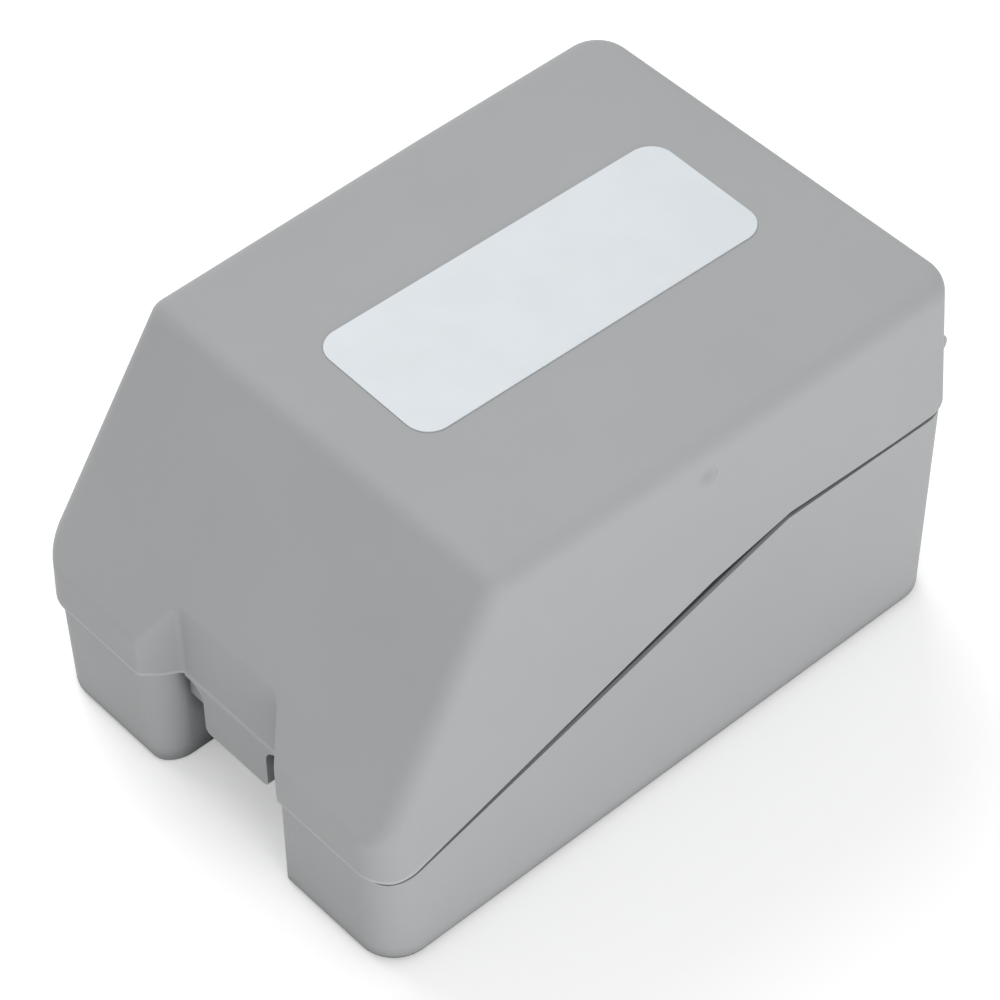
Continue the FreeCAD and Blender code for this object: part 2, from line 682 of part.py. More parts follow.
def is_rim_edge(edge):
    """True for the outer edges of the base rim along both sides."""
    spot = middle_of(edge)
    at_side = abs(spot.x) > value(BASE_HALF_X) - 0.6 and along(edge, "y", 0.06)
    return at_side and abs(spot.z - seam_height(spot.y)) < 0.02


base_outer = base_form("base_outer", "0", "back_seam + 1")
trim_seam(base_outer, "base_outer")
fillet(base_outer, base_outer.Tip, "base_outer_rim", "rim_edge", is_rim_edge, chamfer=True)
cut_notch(base_outer, "base_outer", BASE_FRONT, CATCH_Y, "0")
cut_finger_space(base_outer, "base_outer", "0")
base_inner = base_form("base_inner", "wall_thick", "back_seam + 8")
cut_notch(base_inner, "base_inner", BASE_FRONT, CATCH_Y, "wall_thick")
cut_finger_space(base_inner, "base_inner", "wall_thick")
base_shell = cut("base_shell", base_outer, base_inner)


def locating_rib(name, side):
    """A rib inside the base rim that leans with the wall and stands up behind the seam."""
    body = new_body(name)
    section = new_sketch(body, name + "_section", "XZ_Plane", less("0", FRONT, "rib_end"))
    low, high = "(front_seam - rib_root)", "(back_seam + rib_height)"
    wall_low = total(BASE_HALF_X, "-wall_thick", "%s * tan(base_draft)" % low, "0.02")
    wall_high = total(BASE_HALF_X, "-wall_thick", "%s * tan(base_draft)" % high, "0.02")
    polygon(section, (
        (side + wall_low, low),
        (side + less(wall_low, "rib_thick"), low),
        (side + less(wall_high, "rib_thick"), high),
        (side + wall_high, high),
    ))
    pad(body, section, name + "_pad", "case_length - 2 * rib_end", flip=True)
    for part, shift, far in (("top", "rib_height", "case_height"), ("foot", "-rib_root", "-case_height")):
        trim = new_sketch(body, name + "_" + part, "YZ_Plane")
        polygon(trim, (
            ("-case_length", total("front_seam", shift)),
            (SEAM_START, total("front_seam", shift)),
            (SEAM_END, total("back_seam", shift)),
            ("case_length", total("back_seam", shift)),
            ("case_length", far),
            ("-case_length", far),
        ))
        pocket(body, trim, name + "_%s_cut" % part)
    return body


ribs = [locating_rib("left_rib", "-"), locating_rib("right_rib", "")]
FRONT_RIB_Y = total("-" + BASE_HALF_Y, "wall_thick", "-front_seam * tan(base_draft)", "-0.05")
FRONT_RIB_X = ("(notch_width / 2 + notch_round + wall_thick)", less(BASE_HALF_X, "corner_radius"))
for number, (x0, x1) in enumerate((FRONT_RIB_X, ["-" + x for x in reversed(FRONT_RIB_X)])):
    ribs.append(box("front_rib%d" % number, x0, x1, FRONT_RIB_Y, total(FRONT_RIB_Y, "rib_thick"),
                    "(front_seam - rib_root)", "(front_seam + rib_height)"))


def knuckle(name, x0, x1, web):
    """One hinge knuckle: its web and its barrel, before the pin bore."""
    barrel = rod(name + "_barrel", "x", x0, HINGE_Y, HINGE_Z, "hinge_radius", less(x1, x0))
    body = new_body(name + "_web")
    side = new_sketch(body, name + "_web_side", "YZ_Plane", x0)
    polygon(side, web)
    pad(body, side, name + "_web_pad", less(x1, x0))
    return [barrel, body]


BASE_WEB = (
    ("case_length / 2 - base_reveal - wall_thick / 2", "back_seam - 0.5"),
    ("case_length / 2 - base_reveal - wall_thick / 2", "back_seam - 7"),
    ("case_length / 2 + hinge_back + hinge_radius * 0.48", total(HINGE_Z, "-hinge_radius * 0.84")),
    (HINGE_Y, HINGE_Z),
    ("case_length / 2 + 0.6", "back_seam - 0.5"),
)
LID_WEB = (
    ("case_length / 2 - wall_thick / 2", "back_seam + back_gap"),
    (HINGE_Y, HINGE_Z),
    ("case_length / 2 + hinge_back + hinge_radius * 0.4", total(HINGE_Z, "hinge_radius * 0.86")),
    ("case_length / 2 - wall_thick / 2", "back_seam + 7.5"),
)
OUTER_KNUCKLES = (
    ("-hinge_span / 2", "-(hinge_span / 2 - knuckle_length)"),
    ("hinge_span / 2 - knuckle_length", "hinge_span / 2"),
)
pieces = [base_shell] + ribs
for number, (x0, x1) in enumerate(OUTER_KNUCKLES):
    pieces += knuckle("base_knuckle%d" % number, x0, x1, BASE_WEB)
base_solid = fuse("base_solid", *pieces)
pin_hole = rod("base_pin_hole", "x", "-case_width", HINGE_Y, HINGE_Z, "hinge_pin_dia / 2", "case_width * 2")
case_base = node(cut("case_base_shape", base_solid, pin_hole), "case_base")

lid_outer = lid_form("lid_outer", "0", False)
plan = new_sketch(lid_outer, "lid_notch", "XY_Plane")
recess_outline(plan, "0")
last = pocket(lid_outer, plan, "lid_notch_cut")


def is_recess_edge(edge, half, depth):
    spot = middle_of(edge)
    return (along(edge, "z") and abs(abs(spot.x) - value(half)) < 0.2
            and abs(spot.y - value(total(FRONT, depth))) < 0.2)


last = fillet(lid_outer, last, "recess_roots", "recess_root",
              lambda edge: is_recess_edge(edge, "recess_floor / 2", "lid_recess"))
last = fillet(lid_outer, last, "recess_lips", "recess_lip",
              lambda edge: is_recess_edge(edge, "recess_mouth / 2", "0"))
TAB_Z = "(front_seam - tab_length)"
tab = new_sketch(lid_outer, "tab_front", "XZ_Plane", less("0", FRONT, "lid_recess"))
polygon(tab, (
    ("-tab_width / 2", TAB_Z),
    ("tab_width / 2", TAB_Z),
    ("tab_width / 2", "front_seam + seam_gap"),
    ("recess_floor / 2", "front_seam + seam_gap"),
    ("recess_floor / 2", "front_seam + tab_root"),
    ("-recess_floor / 2", "front_seam + tab_root"),
    ("-recess_floor / 2", "front_seam + seam_gap"),
    ("-tab_width / 2", "front_seam + seam_gap"),
))
tab_pad = pad(lid_outer, tab, "tab_pad", "tab_thick", flip=True)
tab_bounds = (value("tab_width / 2"), value(TAB_Z), value("front_seam + seam_gap"))
tab_y = value(total(FRONT, "lid_recess"))


def is_tab_corner(edge, height):
    spot = middle_of(edge)
    near_tab = tab_y - 0.1 < spot.y < tab_y + value("tab_thick") + 0.1
    at_side = abs(abs(spot.x) - tab_bounds[0]) < 0.05
    return along(edge, "y", 0.01) and near_tab and at_side and abs(spot.z - height) < 0.05


tab_pad = fillet(lid_outer, tab_pad, "tab_corners", "tab_round", lambda edge: is_tab_corner(edge, tab_bounds[1]))
tab_pad = fillet(lid_outer, tab_pad, "tab_shoulders", "tab_shoulder",
                 lambda edge: is_tab_corner(edge, tab_bounds[2]))
ridge = new_sketch(lid_outer, "snap_ridge", "YZ_Plane")
ridge_y = total(FRONT, "lid_recess", "tab_thick")
polygon(ridge, (
    (less(ridge_y, "0.3"), total(TAB_Z, "snap_low")),
    (total(ridge_y, "0.1"), total(TAB_Z, "snap_low")),
    (total(ridge_y, "snap_size"), total(TAB_Z, "snap_peak")),
    (total(ridge_y, "snap_size"), total(TAB_Z, "snap_top")),
    (less(ridge_y, "0.3"), total(TAB_Z, "snap_top")),
))
pad(lid_outer, ridge, "snap_ridge_pad", "tab_width - 2 * snap_inset", middle=True)
lid_inner = lid_form("lid_inner", "wall_thick", True)
plan = new_sketch(lid_inner, "lid_inner_notch", "XY_Plane")
recess_outline(plan, "wall_thick")
pocket(lid_inner, plan, "lid_inner_notch_cut")
MARK_X = less(HALF_WIDTH, "(case_height - back_seam - mark_drop) * tan(lid_draft)", "mark_depth")
mark = rod("moulding_mark", "x", MARK_X, "mark_place", "case_height - mark_drop", "mark_dia / 2", "mark_dia")
mark.Placement.Rotation = Rotation(Vector(0, 1, 0), 90)
mark.setExpression("Placement.Rotation.Angle", term("90 - lid_draft"))
lid_shell = cut("lid_shell", lid_outer, lid_inner, mark)
LID_X = "(hinge_span / 2 - knuckle_length - side_gap)"
lid_solid = fuse("lid_solid", lid_shell, *knuckle("lid_knuckle", "-" + LID_X, LID_X, LID_WEB))
pin_hole = rod("lid_pin_hole", "x", "-case_width", HINGE_Y, HINGE_Z, "hinge_pin_dia / 2 + running_gap",
               "case_width * 2")
case_lid = node(cut("case_lid_shape", lid_solid, pin_hole), "case_lid")
node(rod("hinge_pin", "x", "-hinge_span / 2", HINGE_Y, HINGE_Z, "hinge_pin_dia / 2", "hinge_span"), "hinge_pin")

label = new_body("label")
label_plan = new_sketch(label, "label_plan", "XY_Plane")
rectangle(label_plan, "-label_width / 2", "label_width / 2", "-label_length / 2", "label_length / 2")
label_pad = pad(label, label_plan, "label_pad", "label_thick")
fillet(label, label_pad, "label_corners", "label_round", lambda edge: along(edge, "z", 0.01))
label.Placement = Placement(Vector(), Rotation(Vector(0, 0, 1), value("label_turn")))
label.setExpression("Placement.Rotation.Angle", term("label_turn"))
seat(label, "label_side", "label_back", "case_height")
node(label, "label_plate")

# ---------------------------------------------------------------- cradle
cradle = new_body("cradle")
plan = new_sketch(cradle, "cradle_plan", "XY_Plane", "wall_thick")
rectangle(plan, "-" + CRADLE_X, CRADLE_X, CRADLE_Y0, CRADLE_Y1)
last = pad(cradle, plan, "cradle_plate", "cradle_floor")
last = fillet(cradle, last, "cradle_corners", "corner_radius - wall_thick", lambda edge: along(edge, "z", 0.01))
fence = new_sketch(cradle, "fence_plan", "XY_Plane", SEAT_Z)
rectangle(fence, less(BODY_X0, "fence_gap", "fence_thick"), total(BODY_X1, "fence_gap", "fence_thick"),
          less(BODY_Y0, "fence_gap", "fence_thick"), total(BODY_Y1, "fence_gap", "fence_thick"))
rectangle(fence, less(BODY_X0, "fence_gap"), total(BODY_X1, "fence_gap"),
          less(BODY_Y0, "fence_gap"), total(BODY_Y1, "fence_gap"))
last = pad(cradle, fence, "fence_pad", "fence_height")
last = fillet(cradle, last, "fence_corners", "body_round",
              lambda edge: along(edge, "z", 0.01) and edge.BoundBox.ZMax > value(SEAT_Z) + 1)
gates = new_sketch(cradle, "fence_gates", "XY_Plane", SEAT_Z)
BODY_MIDDLE = "((%s + %s) / 2)" % (BODY_Y0, BODY_Y1)
rectangle(gates, "-case_width / 2", "case_width / 2",
          less(BODY_MIDDLE, "fence_cut / 2"), total(BODY_MIDDLE, "fence_cut / 2"))
last = pocket(cradle, gates, "fence_finger_cuts", "fence_height + 1", flip=True)
gates = new_sketch(cradle, "bin_gate", "XY_Plane", SEAT_Z)
rectangle(gates, "-(bin_width / 2 + fence_gap)", "bin_width / 2 + fence_gap",
          less(BODY_Y0, "fence_gap", "fence_thick", "1"), BODY_Y0)
pocket(cradle, gates, "fence_bin_cut", "fence_height + 1", flip=True)
node(cradle, "cradle")

# ---------------------------------------------------------------- cleaver: bottom and body
CORNERS = [(x, y) for x in (total(BODY_X0, "foot_inset"), less(BODY_X1, "foot_inset"))
           for y in (total(BODY_Y0, "foot_inset"), less(BODY_Y1, "foot_inset"))]
SCREWS = ((total(BODY_X0, "foot_inset"), less(BODY_Y1, "screw_inset")),
          (less(BODY_X1, "foot_inset"), total(BODY_Y0, "screw_inset")))


def round_plan(name, x0, x1, y0, y1, z, height, radius):
    """A plate with rounded upright corners."""
    body = new_body(name)
    plan = new_sketch(body, name + "_plan", "XY_Plane", z)
    rectangle(plan, x0, x1, y0, y1)
    last = pad(body, plan, name + "_pad", height)
    last = fillet(body, last, name + "_corners", radius, lambda edge: along(edge, "z", 0.01))
    return body, last


def drill(body, name, spots, diameter, z, depth, flip=False):
    """Round holes down from a level, or up from it when flipped."""
    plan = new_sketch(body, name, "XY_Plane", z)
    for x, y in spots:
        circle(plan, x, y, diameter)
    return pocket(body, plan, name + "_cut", depth, flip)


feet = new_body("feet")
plan = new_sketch(feet, "feet_plan", "XY_Plane", SEAT_Z)
HALF_FOOT = "pad_foot_size / 2"
CUT_FOOT = "(pad_foot_size / 2 - pad_foot_cut)"
for x, y in CORNERS:
    polygon(plan, (
        (less(x, HALF_FOOT), less(y, CUT_FOOT)),
        (less(x, CUT_FOOT), less(y, HALF_FOOT)),
        (total(x, CUT_FOOT), less(y, HALF_FOOT)),
        (total(x, HALF_FOOT), less(y, CUT_FOOT)),
        (total(x, HALF_FOOT), total(y, CUT_FOOT)),
        (total(x, CUT_FOOT), total(y, HALF_FOOT)),
        (less(x, CUT_FOOT), total(y, HALF_FOOT)),
        (less(x, HALF_FOOT), total(y, CUT_FOOT)),
    ))
pad(feet, plan, "feet_pad", "pad_foot_height")
node(feet, "cleaver_feet")

plate, last = round_plan("plate", BODY_X0, BODY_X1, BODY_Y0, BODY_Y1, PLATE_Z, "plate_thick", "body_round")
drill(plate, "plate_bores", SCREWS, "screw_dia + 2 * running_gap", PLATE_Z, "plate_thick", flip=True)
node(plate, "bottom_plate")
node(together("bottom_screws_pair", *[
    rod("bottom_screw%d" % number, "z", x, y, PLATE_Z, "screw_dia / 2", "plate_thick + screw_reach")
    for number, (x, y) in enumerate(SCREWS)]), "bottom_screws")

CHANNEL_Y0 = less(SLOT_Y, "carriage_width / 2", "channel_gap")
CHANNEL_Y1 = total(SLOT_Y, "carriage_width / 2", "channel_gap")
CHANNEL_X1 = less(BODY_X1, "end_wall")
GUIDE_X0 = less(FIBRE_X, "guide_front")
GUIDE_X1 = total(FIBRE_X, "guide_back")
GUIDE_Z = less(BODY_TOP, "guide_sink")
block, last = round_plan("block", BODY_X0, BODY_X1, BODY_Y0, BODY_Y1, BODY_Z, "body_height", "body_round")
channel = new_sketch(block, "channel_plan", "XY_Plane", BODY_TOP)
rectangle(channel, less(BODY_X0, "5"), CHANNEL_X1, CHANNEL_Y0, CHANNEL_Y1)
pocket(block, channel, "channel_cut", "body_height")
step = new_sketch(block, "guide_seat_plan", "XY_Plane", BODY_TOP)
rectangle(step, less(GUIDE_X0, "running_gap"), total(GUIDE_X1, "running_gap"), less(GUIDE_Y0, "running_gap"),
          total(BODY_Y1, "1"))
last = pocket(block, step, "guide_seat_cut", "guide_sink")
block_top = value(BODY_TOP)
last = fillet(block, last, "block_top_edges", "top_edge", lambda edge: abs(edge.BoundBox.ZMin - block_top) < 0.01
              and (abs(middle_of(edge).x) > value(BODY_X1) - 0.1 or middle_of(edge).y < value(BODY_Y0) + 0.1),
              chamfer=True)
drill(block, "block_screw_holes", SCREWS, "screw_dia + 2 * running_gap", BODY_Z, "screw_reach + 1", flip=True)
access = new_sketch(block, "access_plan", "XZ_Plane", less("0", BODY_Y1, "1"))
circle(access, BLADE_X, BLADE_Z, "access_dia")
pocket(block, access, "access_bore", total(BODY_Y1, "1", "-(%s)" % SLOT_Y), flip=True)
LUG_X0 = less(ARM_X, "arm_barrel", "lug_foot")
LUG_X1 = total(ARM_X, "arm_barrel", "lug_over")
lugs = []
for number, y0 in enumerate((less(ARM_Y0, "side_gap", "lug_thick"), total(ARM_Y1, "side_gap"))):
    lug = box("lug%d_block" % number, LUG_X0, LUG_X1, y0, total(y0, "lug_thick"), less(BODY_TOP, "1"), ARM_Z)
    crown = rod("lug%d_crown" % number, "y", ARM_X, y0, ARM_Z, "arm_barrel + lug_over", "lug_thick")
    lugs += [lug, crown]
body_solid = fuse("body_solid", block, *lugs)
arm_bore = rod("arm_pin_bore", "y", ARM_X, "-case_length", ARM_Z, "arm_pin_dia / 2", "case_length * 2")
node(cut("cleaver_body_shape", body_solid, arm_bore), "cleaver_body")
MAGNET_X0 = total(less(ARM_X, "arm_reach"), "magnet_inset")
MAGNETS = [(MAGNET_X0, y) for y in (total(ARM_Y0, "magnet_inset"), less(ARM_Y1, "magnet_inset", "magnet_size"))]
magnets = [box("body_magnet%d" % number, x, total(x, "magnet_size"), y, total(y, "magnet_size"), BODY_TOP,
               less(ARM_BOTTOM, "magnet_gap")) for number, (x, y) in enumerate(MAGNETS)]
node(together("body_magnets", *magnets), "body_magnets")

# ---------------------------------------------------------------- rail, carriage and blade
RAIL_TOP = total(BODY_Z, "rail_height")
rail = new_body("rail")
plan = new_sketch(rail, "rail_plan", "XY_Plane", BODY_Z)
rectangle(plan, total(BODY_X0, "rail_inset"), CHANNEL_X1,
          less(SLOT_Y, "rail_width / 2"), total(SLOT_Y, "rail_width / 2"))
last = pad(rail, plan, "rail_pad", "rail_height")
RAIL_SCREWS = [(total(BODY_X0, "rail_screw_side"), SLOT_Y), (less(CHANNEL_X1, "rail_screw_far"), SLOT_Y)]
drill(rail, "rail_bores", RAIL_SCREWS, "screw_dia + 2 * running_gap", RAIL_TOP, "rail_height")
node(rail, "guide_rail")
node(together("rail_screws_pair", *[
    rod("rail_screw%d" % number, "z", x, y, BODY_Z, "screw_dia / 2", "rail_height - running_gap")
    for number, (x, y) in enumerate(RAIL_SCREWS)]), "rail_screws")

CARRIAGE_Y0 = less(SLOT_Y, "carriage_width / 2")
CARRIAGE_Y1 = total(SLOT_Y, "carriage_width / 2")
CARRIAGE_TOP = less(BODY_TOP, "carriage_drop")
CARRIAGE_Z = total(BODY_Z, "carriage_lift")
carriage = new_body("carriage")
front = new_sketch(carriage, "carriage_front", "YZ_Plane", CARRIAGE_X)
RAIL_SIDE = "(rail_width / 2 + running_gap)"
polygon(front, (
    (CARRIAGE_Y0, CARRIAGE_Z),
    (less(SLOT_Y, RAIL_SIDE), CARRIAGE_Z),
    (less(SLOT_Y, RAIL_SIDE), total(RAIL_TOP, "running_gap")),
    (total(SLOT_Y, RAIL_SIDE), total(RAIL_TOP, "running_gap")),
    (total(SLOT_Y, RAIL_SIDE), CARRIAGE_Z),
    (CARRIAGE_Y1, CARRIAGE_Z),
    (CARRIAGE_Y1, less(CARRIAGE_TOP, "2")),
    (less(CARRIAGE_Y1, "2"), CARRIAGE_TOP),
    (total(CARRIAGE_Y0, "2"), CARRIAGE_TOP),
    (CARRIAGE_Y0, less(CARRIAGE_TOP, "2")),
))
pad(carriage, front, "carriage_pad", "carriage_length")
slot = new_sketch(carriage, "blade_slot_plan", "XY_Plane", CARRIAGE_TOP)
rectangle(slot, less(CARRIAGE_X, "1"), total(CARRIAGE_X, "carriage_length", "1"),
          less(SLOT_Y, "blade_slot / 2"), total(SLOT_Y, "blade_slot / 2"))
pocket(carriage, slot, "blade_slot_cut", less(CARRIAGE_TOP, BLADE_Z, "-(blade_dia / 2 + 0.5)"))
axle_hole = new_sketch(carriage, "axle_hole_side", "XZ_Plane", less("0", CARRIAGE_Y1, "1"))
circle(axle_hole, BLADE_X, BLADE_Z, "axle_dia")
pocket(carriage, axle_hole, "axle_hole_cut", "carriage_width + 2", flip=True)
head_sink = new_sketch(carriage, "lock_sink_side", "XZ_Plane", less("0", CARRIAGE_Y1, "1"))
circle(head_sink, BLADE_X, BLADE_Z, "lock_head + 2 * running_gap")
pocket(carriage, head_sink, "lock_sink_cut", "lock_depth + 1", flip=True)
HEIGHT_SPOT = (total(CARRIAGE_X, "height_side"), less(CARRIAGE_Y1, "height_back"))
drill(carriage, "height_screw_hole", [HEIGHT_SPOT], "screw_dia", CARRIAGE_TOP, "height_depth")
node(carriage, "carriage")
node(rod("axle", "y", BLADE_X, total(CARRIAGE_Y0, "axle_inset"), BLADE_Z, "axle_dia / 2",
         "carriage_width - lock_depth - axle_inset"), "blade_axle")
node(rod("lock", "y", BLADE_X, less(CARRIAGE_Y1, "lock_depth"), BLADE_Z, "lock_head / 2", "lock_depth"),
     "blade_lock_screw")
node(rod("height", "z", HEIGHT_SPOT[0], HEIGHT_SPOT[1], less(CARRIAGE_TOP, "height_depth"), "screw_dia / 2",
         "height_depth - height_low"),
     "height_screw")
wheel = new_body("wheel")
face = new_sketch(wheel, "wheel_face", "XZ_Plane", less("0", SLOT_Y, "blade_thick / 2"))
circle(face, "0", "0", "blade_dia")
circle(face, "0", "0", "axle_dia + 2 * running_gap")
last = pad(wheel, face, "wheel_pad", "blade_thick")
fillet(wheel, last, "wheel_edge", "blade_thick * 0.47",
       lambda edge: edge.BoundBox.XLength > value("blade_dia") - 0.1, chamfer=True)
seat(wheel, BLADE_X, "0", BLADE_Z)
node(wheel, "blade_wheel")
knob = new_body("knob")
side = new_sketch(knob, "knob_side", "XZ_Plane", less("0", SLOT_Y))
KNOB_Z0 = total(BODY_Z, "knob_rise")
polygon(side, (
    (CARRIAGE_X, KNOB_Z0),
    (CARRIAGE_X, total(KNOB_Z0, "knob_height")),
    (less(CARRIAGE_X, "knob_length - 1.5"), total(KNOB_Z0, "knob_height")),
    (less(CARRIAGE_X, "knob_length"), total(KNOB_Z0, "knob_height - 1.5")),
    (less(CARRIAGE_X, "knob_length - 1.2"), total(KNOB_Z0, "knob_height / 2")),
    (less(CARRIAGE_X, "knob_length"), total(KNOB_Z0, "1.5")),
    (less(CARRIAGE_X, "knob_length - 1.5"), KNOB_Z0),
))
last = pad(knob, side, "knob_pad", "knob_width", middle=True)
knob_tip = value(less(CARRIAGE_X, "knob_length"))
fillet(knob, last, "knob_corners", "knob_round", lambda edge: not along(edge, "y", 0.01)
       and middle_of(edge).x < knob_tip + 5 and abs(middle_of(edge).z - value(KNOB_Z0) - 6) > 5.5)
node(knob, "carriage_knob")

# ---------------------------------------------------------------- lower clamp
PAD_X0 = less(FIBRE_X, "pad_length / 2")
PAD_X1 = total(FIBRE_X, "pad_length / 2")
PAD_NEAR = total(SLOT_Y, "pad_spacing / 2")
PAD_FAR = total(SLOT_Y, "pad_spacing / 2", "pad_width")
PAD_NEAR_R = less(SLOT_Y, "pad_spacing / 2")
PAD_FAR_R = less(SLOT_Y, "pad_spacing / 2", "pad_width")
HOLDER_TOP = less(FIBRE_Z, "pad_thick")


def holder(name, y0, y1):
    """One block that carries a lower clamp pad over the channel."""
    body, feature = round_plan(name, less(PAD_X0, "holder_side"), total(PAD_X1, "holder_side"), y0, y1, BODY_TOP,
                               less(HOLDER_TOP, BODY_TOP), "holder_round")
    return body


def hexagon_heads(name, spots, z):
    """Small hexagon screw heads on one level."""
    heads = []
    for number, (x, y) in enumerate(spots):
        head = doc.addObject("Part::Prism", "%s%d" % (name, number))
        head.Polygon = 6
        bind(head, Circumradius="head_across / 2", Height="head_thick")
        seat(head, x, y, z)
        heads.append(head)
    return together(name, *heads)


holders = [
    holder("left_holder", PAD_NEAR, total(CHANNEL_Y1, "holder_reach")),
    holder("right_holder", less(CHANNEL_Y0, "holder_reach"), PAD_NEAR_R),
]
node(together("holders", *holders), "lower_pad_holders")
node(together("lower_pads", box("lower_pad_l", PAD_X0, PAD_X1, PAD_NEAR, PAD_FAR, HOLDER_TOP, FIBRE_Z),
              box("lower_pad_r", PAD_X0, PAD_X1, PAD_FAR_R, PAD_NEAR_R, HOLDER_TOP, FIBRE_Z)),
     "lower_clamp_pads")
HOLDER_SCREWS = ((FIBRE_X, total(CHANNEL_Y1, "holder_screw_place")),
                 (FIBRE_X, less(CHANNEL_Y0, "holder_screw_place")))
node(hexagon_heads("holder_screw", HOLDER_SCREWS, HOLDER_TOP), "holder_screws")

# ---------------------------------------------------------------- clamp arm and anvil
ARM_TIP = less(ARM_X, "arm_reach")
arm = new_body("arm")
side = new_sketch(arm, "arm_side", "XZ_Plane", less("0", SLOT_Y))
polygon(side, (
    (ARM_TIP, ARM_BOTTOM),
    (less(ARM_X, "arm_barrel * 0.7"), ARM_BOTTOM),
    (total(ARM_X, "arm_barrel * 0.7"), less(ARM_Z, "arm_barrel * 0.71")),
    (total(ARM_X, "arm_barrel"), ARM_Z),
    (total(ARM_X, "arm_barrel"), less(ARM_TOP, "heel_cut")),
    (total(ARM_X, "arm_barrel - heel_cut"), ARM_TOP),
    (total(ARM_TIP, "nose_run"), ARM_TOP),
    (total(ARM_TIP, "nose_cut"), less(ARM_TOP, "nose_low")),
    (ARM_TIP, less(ARM_TOP, "nose_drop")),
))
last = pad(arm, side, "arm_pad", "arm_width", middle=True)
barrel_face = new_sketch(arm, "arm_barrel_side", "XZ_Plane", less("0", SLOT_Y))
circle(barrel_face, ARM_X, ARM_Z, "arm_barrel * 2")
last = pad(arm, barrel_face, "arm_barrel_pad", "arm_width", middle=True)
arm_top = value(ARM_TOP)
last = fillet(arm, last, "arm_edges", "arm_edge", lambda edge: middle_of(edge).z > arm_top - value("nose_drop") - 0.1
              and abs(edge.BoundBox.YLength) < 0.01)
ANVIL_X = total(FIBRE_X, "anvil_reach")
ANVIL_Z = total(ARM_BOTTOM, "arm_thick / 2")
ANVIL_GAP_Y0 = less(SLOT_Y, "anvil_width / 2", "anvil_gap")
ANVIL_GAP_Y1 = total(SLOT_Y, "anvil_width / 2", "anvil_gap")
window = new_sketch(arm, "anvil_window", "XY_Plane", ARM_TOP)
rectangle(window, less(FIBRE_X, "window_end"), total(ANVIL_X, "window_heel"), ANVIL_GAP_Y0, ANVIL_GAP_Y1)
pocket(arm, window, "anvil_window_cut", "arm_thick + 5")
spring_room = new_sketch(arm, "spring_room", "XY_Plane", ARM_TOP)
SPRING_Y0 = less(ARM_Y1, "spring_width", "spring_side")
rectangle(spring_room, less(ARM_X, "arm_barrel", "1.2"), total(ARM_X, "arm_barrel", "1"),
          less(SPRING_Y0, "side_gap"), total(SPRING_Y0, "spring_width", "side_gap"))
pocket(arm, spring_room, "spring_room_cut", "arm_thick + 5")
bore = new_sketch(arm, "arm_bore_side", "XZ_Plane", less("0", ARM_Y1, "1"))
circle(bore, ARM_X, ARM_Z, "arm_pin_dia + 2 * running_gap")
pocket(arm, bore, "arm_bore_cut", "arm_width + 2", flip=True)
bore = new_sketch(arm, "anvil_bore_side", "XZ_Plane", less("0", SLOT_Y, "anvil_width / 2", "anvil_gap", "anvil_pin_end"))
circle(bore, ANVIL_X, ANVIL_Z, "anvil_pin_dia")
pocket(arm, bore, "anvil_bore_cut", "anvil_width + 2 * anvil_gap + 2 * anvil_pin_end", flip=True)
seats = new_sketch(arm, "magnet_seats", "XY_Plane", ARM_BOTTOM)
for x, y in MAGNETS:
    rectangle(seats, x, total(x, "magnet_size"), y, total(y, "magnet_size"))
pocket(arm, seats, "magnet_seats_cut", "magnet_thick", flip=True)
UPPER_Z0 = total(FIBRE_Z, "clamp_gap")
drill_plan = new_sketch(arm, "pad_seats", "XY_Plane", ARM_BOTTOM)
rectangle(drill_plan, PAD_X0, PAD_X1, PAD_NEAR, PAD_FAR)
rectangle(drill_plan, PAD_X0, PAD_X1, PAD_FAR_R, PAD_NEAR_R)
pocket(arm, drill_plan, "pad_seats_cut", "pad_seat", flip=True)
node(arm, "clamp_arm")
node(rod("arm_pin_rod", "y", ARM_X, less(ARM_Y0, "side_gap", "lug_thick"), ARM_Z, "arm_pin_dia / 2",
         "arm_width + 2 * side_gap + 2 * lug_thick"), "arm_pin")
coil = cut("coil", rod("coil_out", "y", ARM_X, SPRING_Y0, ARM_Z, "arm_barrel - spring_low", "spring_width"),
           rod("coil_in", "y", ARM_X, less(SPRING_Y0, "1"), ARM_Z, "arm_pin_dia / 2 + 0.3", "spring_width + 2"))
node(coil, "arm_spring")
magnets = [box("arm_magnet%d" % number, x, total(x, "magnet_size"), y, total(y, "magnet_size"), ARM_BOTTOM,
               total(ARM_BOTTOM, "magnet_thick")) for number, (x, y) in enumerate(MAGNETS)]
node(together("arm_magnets", *magnets), "arm_magnets")
node(together("upper_pads", box("upper_pad_l", PAD_X0, PAD_X1, PAD_NEAR, PAD_FAR, UPPER_Z0,
                                total(ARM_BOTTOM, "pad_seat")),
              box("upper_pad_r", PAD_X0, PAD_X1, PAD_FAR_R, PAD_NEAR_R, UPPER_Z0, total(ARM_BOTTOM, "pad_seat"))),
     "upper_clamp_pads")

